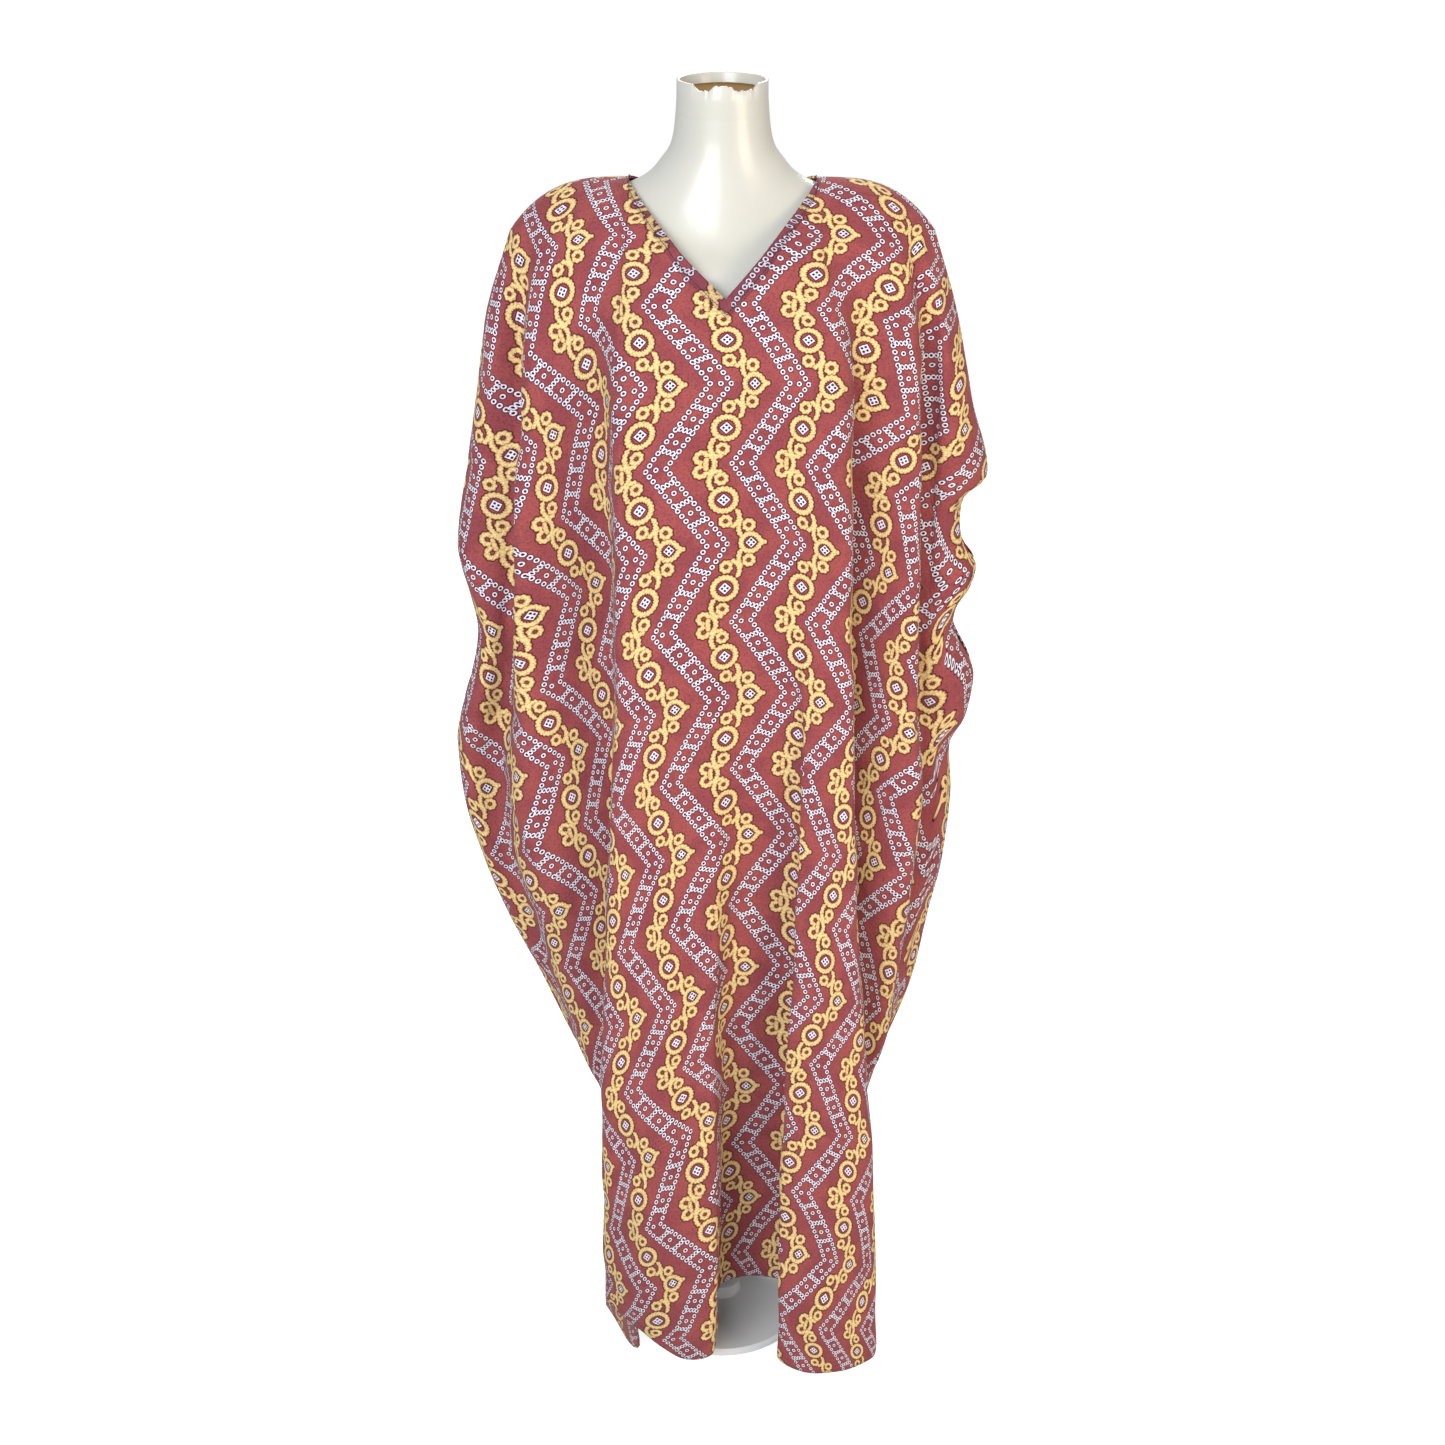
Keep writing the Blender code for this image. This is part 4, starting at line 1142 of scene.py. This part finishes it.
def add_stitches(name, lines, tree, thread, sizes):
    """Stitches along some lines of points, as one plain mesh."""
    points = []
    edges = []
    for line in lines:
        first = len(points)
        points += [tuple(float(value) for value in spot) for spot in line]
        edges += [(k, k + 1) for k in range(first, len(points) - 1)]
    mesh = bpy.data.meshes.new(name + "_lines")
    mesh.from_pydata(points, edges, [])
    guide = bpy.data.objects.new(name + "_lines", mesh)
    bpy.context.scene.collection.objects.link(guide)
    modifier = guide.modifiers.new("stitches", "NODES")
    modifier.node_group = tree
    values = dict(zip(("Pitch", "Length", "Thickness", "Thread"), (*sizes, thread)))
    for item in tree.interface.items_tree:
        if item.in_out == "INPUT" and item.name in values:
            modifier[item.identifier] = values[item.name]
    evaluated = guide.evaluated_get(bpy.context.evaluated_depsgraph_get())
    made = bpy.data.meshes.new_from_object(evaluated)
    made.name = name
    bpy.data.objects.remove(guide)
    made.polygons.foreach_set("use_smooth", np.ones(len(made.polygons), dtype=bool))
    return add_piece(name, made, [])


# The form's rings from its underside up, in millimetres: height at its sides, at its front and
# at its back, half width, front depth, back depth
FORM_RINGS = (
    (740, 740, 740, 150, 88, 86),
    (750, 750, 750, 158, 96, 94),
    (860, 860, 860, 164, 102, 96),
    (960, 960, 960, 148, 90, 84),
    (1060, 1060, 1060, 122, 82, 76),
    (1150, 1150, 1150, 130, 96, 82),
    (1240, 1240, 1240, 148, 116, 88),
    (1300, 1300, 1300, 156, 113, 90),
    (1355, 1310, 1310, 166, 112, 90),
    (1400, 1330, 1340, 172, 106, 86),
    (1428, 1352, 1370, 165, 100, 80),
    (1444.5, 1371, 1387, 152, 95, 72),
    (1454.8, 1386, 1406, 136, 89, 66),
    (1460.8, 1402, 1420, 116, 82, 61),
    (1463.6, 1418, 1434, 96, 71.5, 56),
    (1469, 1438, 1453, 80.5, 62.5, 52),
    (1477, 1461, 1472, 68, 54.5, 49),
    (1488, 1482, 1488, 58.5, 49, 47),
    (1500, 1497, 1500, 50, 46.5, 45),
    (1513.6, 1513.6, 1513.6, 46.2, 44.5, 44),
    (1530, 1530, 1530, 44.2, 43.5, 43.2),
)
FORM_SUBSTEPS = 6
FORM_SIDES = 112

# The neck rim in metres: radii, heights, and how far its front edge has chipped away
# in millimetres, by degrees round from the front towards the right
RIM_OUTER = 0.0430
RIM_INNER = 0.0398
RIM_FOOT = 1.53005
RIM_TOP = 1.5600
RIM_SIDES = 300
RIM_CHIPS = (
    (-42, 0.0), (-38, 2.2), (-34, 4.6), (-29, 5.6), (-24, 4.9), (-19, 5.4), (-15, 3.6),
    (-12, 1.1), (-6, 0.5), (0, 0.2), (6, 0.7), (11, 1.4), (15, 4.0), (20, 5.5),
    (26, 5.0), (32, 5.8), (38, 4.7), (43, 5.2), (47, 2.6), (51, 0.0),
)
# Ragged waves along the chipped edge: rate, phase and size in millimetres. It is
# whole where it is chipped less than the last number, in metres
RIM_RAGGED = ((0.93, 0.0, 0.35), (2.31, 1.0, 0.3), (4.7, 0.0, 0.2))
RIM_WHOLE = 0.0003
CAP_RADIUS = 0.0395
CAP_TOP = 1.5513
CAP_SIDES = 96


def ring_mesh(name, loops, closed_ends):
    """A mesh through loops of points, lowest first, with its ends closed or not."""
    loops = [np.array(loop) for loop in loops]
    sides = len(loops[0])
    faces = []
    for k in range(len(loops) - 1):
        for i in range(sides):
            j = (i + 1) % sides
            low = k * sides
            high = low + sides
            faces.append((low + i, low + j, high + j, high + i))
    points = np.concatenate(loops).tolist()
    last = (len(loops) - 1) * sides
    if closed_ends:
        for loop, first, turned in ((loops[0], 0, True), (loops[-1], last, False)):
            middle = len(points)
            points.append(loop.mean(axis=0).tolist())
            for i in range(sides):
                a, b = first + i, first + (i + 1) % sides
                faces.append((b, a, middle) if turned else (a, b, middle))
    mesh = bpy.data.meshes.new(name)
    mesh.from_pydata(points, [], faces)
    mesh.polygons.foreach_set("use_smooth", np.ones(len(faces), dtype=bool))
    mesh.update()
    if closed_ends:
        for edge in mesh.edges:
            low, high = sorted(edge.vertices)
            edge.use_edge_sharp = high < sides or (low >= last and high < last + sides)
    return mesh


def form_loops():
    """Loops of points up the dress form, tilted over its shoulders."""
    curves = [Curve(enumerate(column)) for column in np.array(FORM_RINGS).T / PER_METRE]
    at = np.linspace(0, len(FORM_RINGS) - 1, (len(FORM_RINGS) - 1) * FORM_SUBSTEPS + 1)
    side, front_z, back_z, half, front, back = [curve(at)[:, None] for curve in curves]
    angle = np.linspace(0, 2 * math.pi, FORM_SIDES, endpoint=False)[None, :]
    is_front = np.sin(angle) < 0
    depth = np.where(is_front, front, back)
    middle = np.where(is_front, front_z, back_z)
    z = side * np.cos(angle) ** 2 + middle * np.sin(angle) ** 2
    return list(np.stack([half * np.cos(angle), depth * np.sin(angle), z], axis=2))


def rim_loops():
    """Loops of the neck rim: up its outside, over its chipped edge, down inside."""
    angle = np.linspace(0, 2 * math.pi, RIM_SIDES, endpoint=False)
    turn = np.degrees(np.arctan2(np.cos(angle), -np.sin(angle)))
    chips = Curve(RIM_CHIPS)(turn) / PER_METRE
    ragged = sum(np.sin(turn * rate + phase) * size for rate, phase, size in RIM_RAGGED)
    chips = np.where(chips > RIM_WHOLE, chips + ragged / PER_METRE, chips)
    top = RIM_TOP - np.maximum(chips, 0.0)
    foot = np.full(RIM_SIDES, RIM_FOOT)
    middle = (RIM_OUTER + RIM_INNER) / 2
    side, front, back = np.array(FORM_RINGS[-1][3:]) / PER_METRE
    foot_across = side * np.cos(angle)
    foot_deep = np.where(np.sin(angle) < 0, front, back) * np.sin(angle)
    loops = []
    # The outside widens from the form's top ring to the rim's own radius
    for share, z in ((0.0, foot), (0.3, foot + 0.005), (0.8, foot + 0.014)):
        across = foot_across + (RIM_OUTER * np.cos(angle) - foot_across) * share
        deep = foot_deep + (RIM_OUTER * np.sin(angle) - foot_deep) * share
        loops.append(np.stack([across, deep, z], axis=1))
    # Then over the rounded edge and down the inside
    for r, z in (
        (RIM_OUTER, top - 0.0006),
        (RIM_OUTER - 0.0003, top - 0.0001),
        (middle, top),
        (RIM_INNER + 0.0003, top - 0.0001),
        (RIM_INNER, top - 0.0006),
        (RIM_INNER, foot + 0.008),
        (RIM_INNER, foot),
    ):
        loops.append(np.stack([r * np.cos(angle), r * np.sin(angle), z], axis=1))
    loops.append(loops[0])
    return loops


def cap_loops():
    """Loops of the round cap in the neck, slightly domed."""
    angle = np.linspace(0, 2 * math.pi, CAP_SIDES, endpoint=False)
    loops = []
    for share, z in (
        (1.0, RIM_FOOT),
        (1.0, CAP_TOP - 0.0022),
        (0.985, CAP_TOP - 0.0010),
        (0.95, CAP_TOP - 0.0004),
        (0.8, CAP_TOP - 0.0001),
        (0.4, CAP_TOP),
    ):
        r = CAP_RADIUS * share
        loops.append(np.stack([r * np.cos(angle), r * np.sin(angle), np.full(CAP_SIDES, z)], axis=1))
    return loops


def add_ring_piece(name, loops, closed_ends, material):
    """A piece of the form, meshed through loops of points."""
    return add_piece(name, ring_mesh(name, loops, closed_ends), [material])


# The kaftan. Each cotton: a colour of painted shade mixed over the print, and how much of it; it makes
# the inside and the neck band darker, duller copies of the face
print_tree = print_group()
weave_tree = weave_group()
finish_tree = finish_group()
cotton, cotton_inside, band_cotton = (
    cloth_material(name, print_tree, weave_tree, painted_shade_colour, painted_shade_share)
    for name, painted_shade_colour, painted_shade_share in (
        ("printed_cotton_face", (0.030, 0.008, 0.016, 1.0), 0.0),
        ("printed_cotton_inside", (0.30, 0.16, 0.13, 1.0), 0.38),
        ("neck_band_cotton", (0.050, 0.020, 0.060, 1.0), 0.30),
    )
)
thread = plain_material("dark_thread", finish_tree, (0.012, 0.008, 0.012, 1.0), 0.7)
thread_red = plain_material("red_thread", finish_tree, (0.16, 0.02, 0.03, 1.0), 0.7)

front = Cloth("front", FRONT_FOLDS, BAND_DROP_FRONT, "valley_left")
back = Cloth("back", BACK_FOLDS, BAND_DROP_BACK, "spine")
front_piece = add_cloth_piece(front, "kaftan_front", [cotton, cotton_inside])
back_piece = add_cloth_piece(back, "kaftan_back", [cotton, cotton_inside])
# Each neck band runs between two fold lines, and its stitches lie on its lower row
over_band = BAND_LIFT + BAND_THICK + STITCH_LIFT
neck_lines = []
for name, cloth, first, last in (
    ("neck_band_left", front, "left_ridge", "valley_left"),
    ("neck_band_right", front, "valley_left", "right_ridge"),
    ("neck_band_back", back, "left_ridge", "right_ridge"),
):
    columns = slice(cloth.column(first), cloth.column(last) + 1)
    add_band_piece(cloth, name, columns, band_cotton)
    neck_lines.append(cloth.off(over_band, columns, BAND_ROWS - 1))

hem_lines = []
cuff_lines = []
for cloth in (front, back):
    hem_lines.append(cloth.level_line(HEM_WIDTH - HEM_STITCH_DROP, STITCH_LIFT))
    for edge in (0, -1):
        cuff_lines.append(cloth.sleeve_line(edge, CUFF_STITCH_IN, STITCH_LIFT))
stitches = stitch_tree()
add_stitches("neck_stitches", neck_lines, stitches, thread, NECK_STITCH)
add_stitches("hem_stitches", hem_lines, stitches, thread_red, HEM_STITCH)
add_stitches("cuff_stitches", cuff_lines, stitches, thread_red, HEM_STITCH)

# The dress form and its stand
IVORY = (0.570, 0.556, 0.492, 1.0)
gloss = plain_material("form_gloss_white", finish_tree, IVORY, 0.34, coat=0.25)
rim_white = plain_material("neck_rim_white", finish_tree, IVORY, 0.34, coat=0.25)
cap_brown = plain_material("cap_golden_brown", finish_tree, (0.26, 0.135, 0.028, 1.0), 0.8)
set_shader(Tree(cap_brown.node_tree), Specular_IOR_Level=0.05)
stand_paint = plain_material("stand_white_paint", finish_tree, (0.86, 0.86, 0.84, 1.0), 0.5)
torso = add_ring_piece("form_torso_smooth", form_loops(), True, gloss)
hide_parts("form_torso")
rim = add_ring_piece("form_neck_rim_chipped", rim_loops(), False, rim_white)
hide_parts("form_neck_rim")
cap = add_ring_piece("form_neck_cap_round", cap_loops(), True, cap_brown)
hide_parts("form_neck_cap")
for name in ("stand_flange", "stand_pole", "stand_base"):
    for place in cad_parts[name].material_slots:
        place.material = stand_paint

# Floor, light and camera. The floor glows a little, for the camera alone
FLOOR_HALF = 6
FLOOR_GLOW = 0.74
corners = [(x * FLOOR_HALF, y * FLOOR_HALF, 0) for x, y in ((-1, -1), (1, -1), (1, 1), (-1, 1))]
floor_mesh = bpy.data.meshes.new("studio_floor")
floor_mesh.from_pydata(corners, [], [(0, 1, 2, 3)])
floor = bpy.data.objects.new("studio_floor", floor_mesh)
floor_finish = plain_material("pale_floor", finish_tree, (0.56, 0.56, 0.56, 1.0), 0.9)
glow = Tree(floor_finish.node_tree)
set_shader(
    glow,
    Emission_Color=(1.0, 1.0, 1.0, 1.0),
    Emission_Strength=glow.times(glow.add("ShaderNodeLightPath"), FLOOR_GLOW),
    Specular_IOR_Level=0.0,
)
floor_mesh.materials.append(floor_finish)
bpy.context.scene.collection.objects.link(floor)

# The studio's walls give a soft cool light all round, and are seen as plain white
world = bpy.data.worlds.new("studio")
world.use_nodes = True
links = world.node_tree.links
walls = world.node_tree.nodes
walls["Background"].inputs["Color"].default_value = (0.94, 0.975, 1.0, 1.0)
walls["Background"].inputs["Strength"].default_value = 0.60
seen = walls.new("ShaderNodeBackground")
seen.inputs["Color"].default_value = (1.0, 1.0, 1.0, 1.0)
seen.inputs["Strength"].default_value = 1.0
choose = walls.new("ShaderNodeMixShader")
path = walls.new("ShaderNodeLightPath")
links.new(path.outputs["Is Camera Ray"], choose.inputs["Fac"])
links.new(walls["Background"].outputs[0], choose.inputs[1])
links.new(seen.outputs[0], choose.inputs[2])
links.new(choose.outputs[0], walls["World Output"].inputs["Surface"])
bpy.context.scene.world = world
# Colours show as they are, without a film curve
bpy.context.scene.view_settings.view_transform = "Standard"

# Soft lamps: name, place, what it points at, size, power, colour
LAMPS = (
    ("key", (-1.1, -2.9, 2.5), (0.0, 0.0, 1.0), 1.8, 99.0, (0.90, 0.94, 1.0)),
    ("fill", (2.4, -2.2, 1.7), (0.0, 0.0, 0.9), 1.5, 52.0, (1.0, 0.84, 0.66)),
    ("back", (0.3, 2.4, 2.8), (0.0, 0.0, 1.0), 1.4, 50.0, (1.0, 1.0, 1.0)),
)
for name, place, target, size, power, colour in LAMPS:
    lamp = bpy.data.lights.new("lamp_" + name, "AREA")
    lamp.size = size
    lamp.energy = power
    lamp.color = colour
    holder = bpy.data.objects.new("lamp_" + name, lamp)
    holder.location = place
    aim = Vector(target) - Vector(place)
    holder.rotation_euler = aim.to_track_quat("-Z", "Y").to_euler()
    bpy.context.scene.collection.objects.link(holder)

# The camera as it was fitted: its focal length and the picture's width, in pixels,
# its place, and how far up from straight down it looks
FOCAL_PIXELS = 1850
PICTURE_PIXELS = 1445
camera_data = bpy.data.cameras.new("camera")
camera_data.sensor_width = 36.0
camera_data.lens = camera_data.sensor_width * FOCAL_PIXELS / PICTURE_PIXELS
camera = bpy.data.objects.new("camera", camera_data)
camera.location = (0.0, -1.807, 1.84)
camera.rotation_euler = (math.radians(62), 0.0, 0.0)
bpy.context.scene.collection.objects.link(camera)
bpy.context.scene.camera = camera
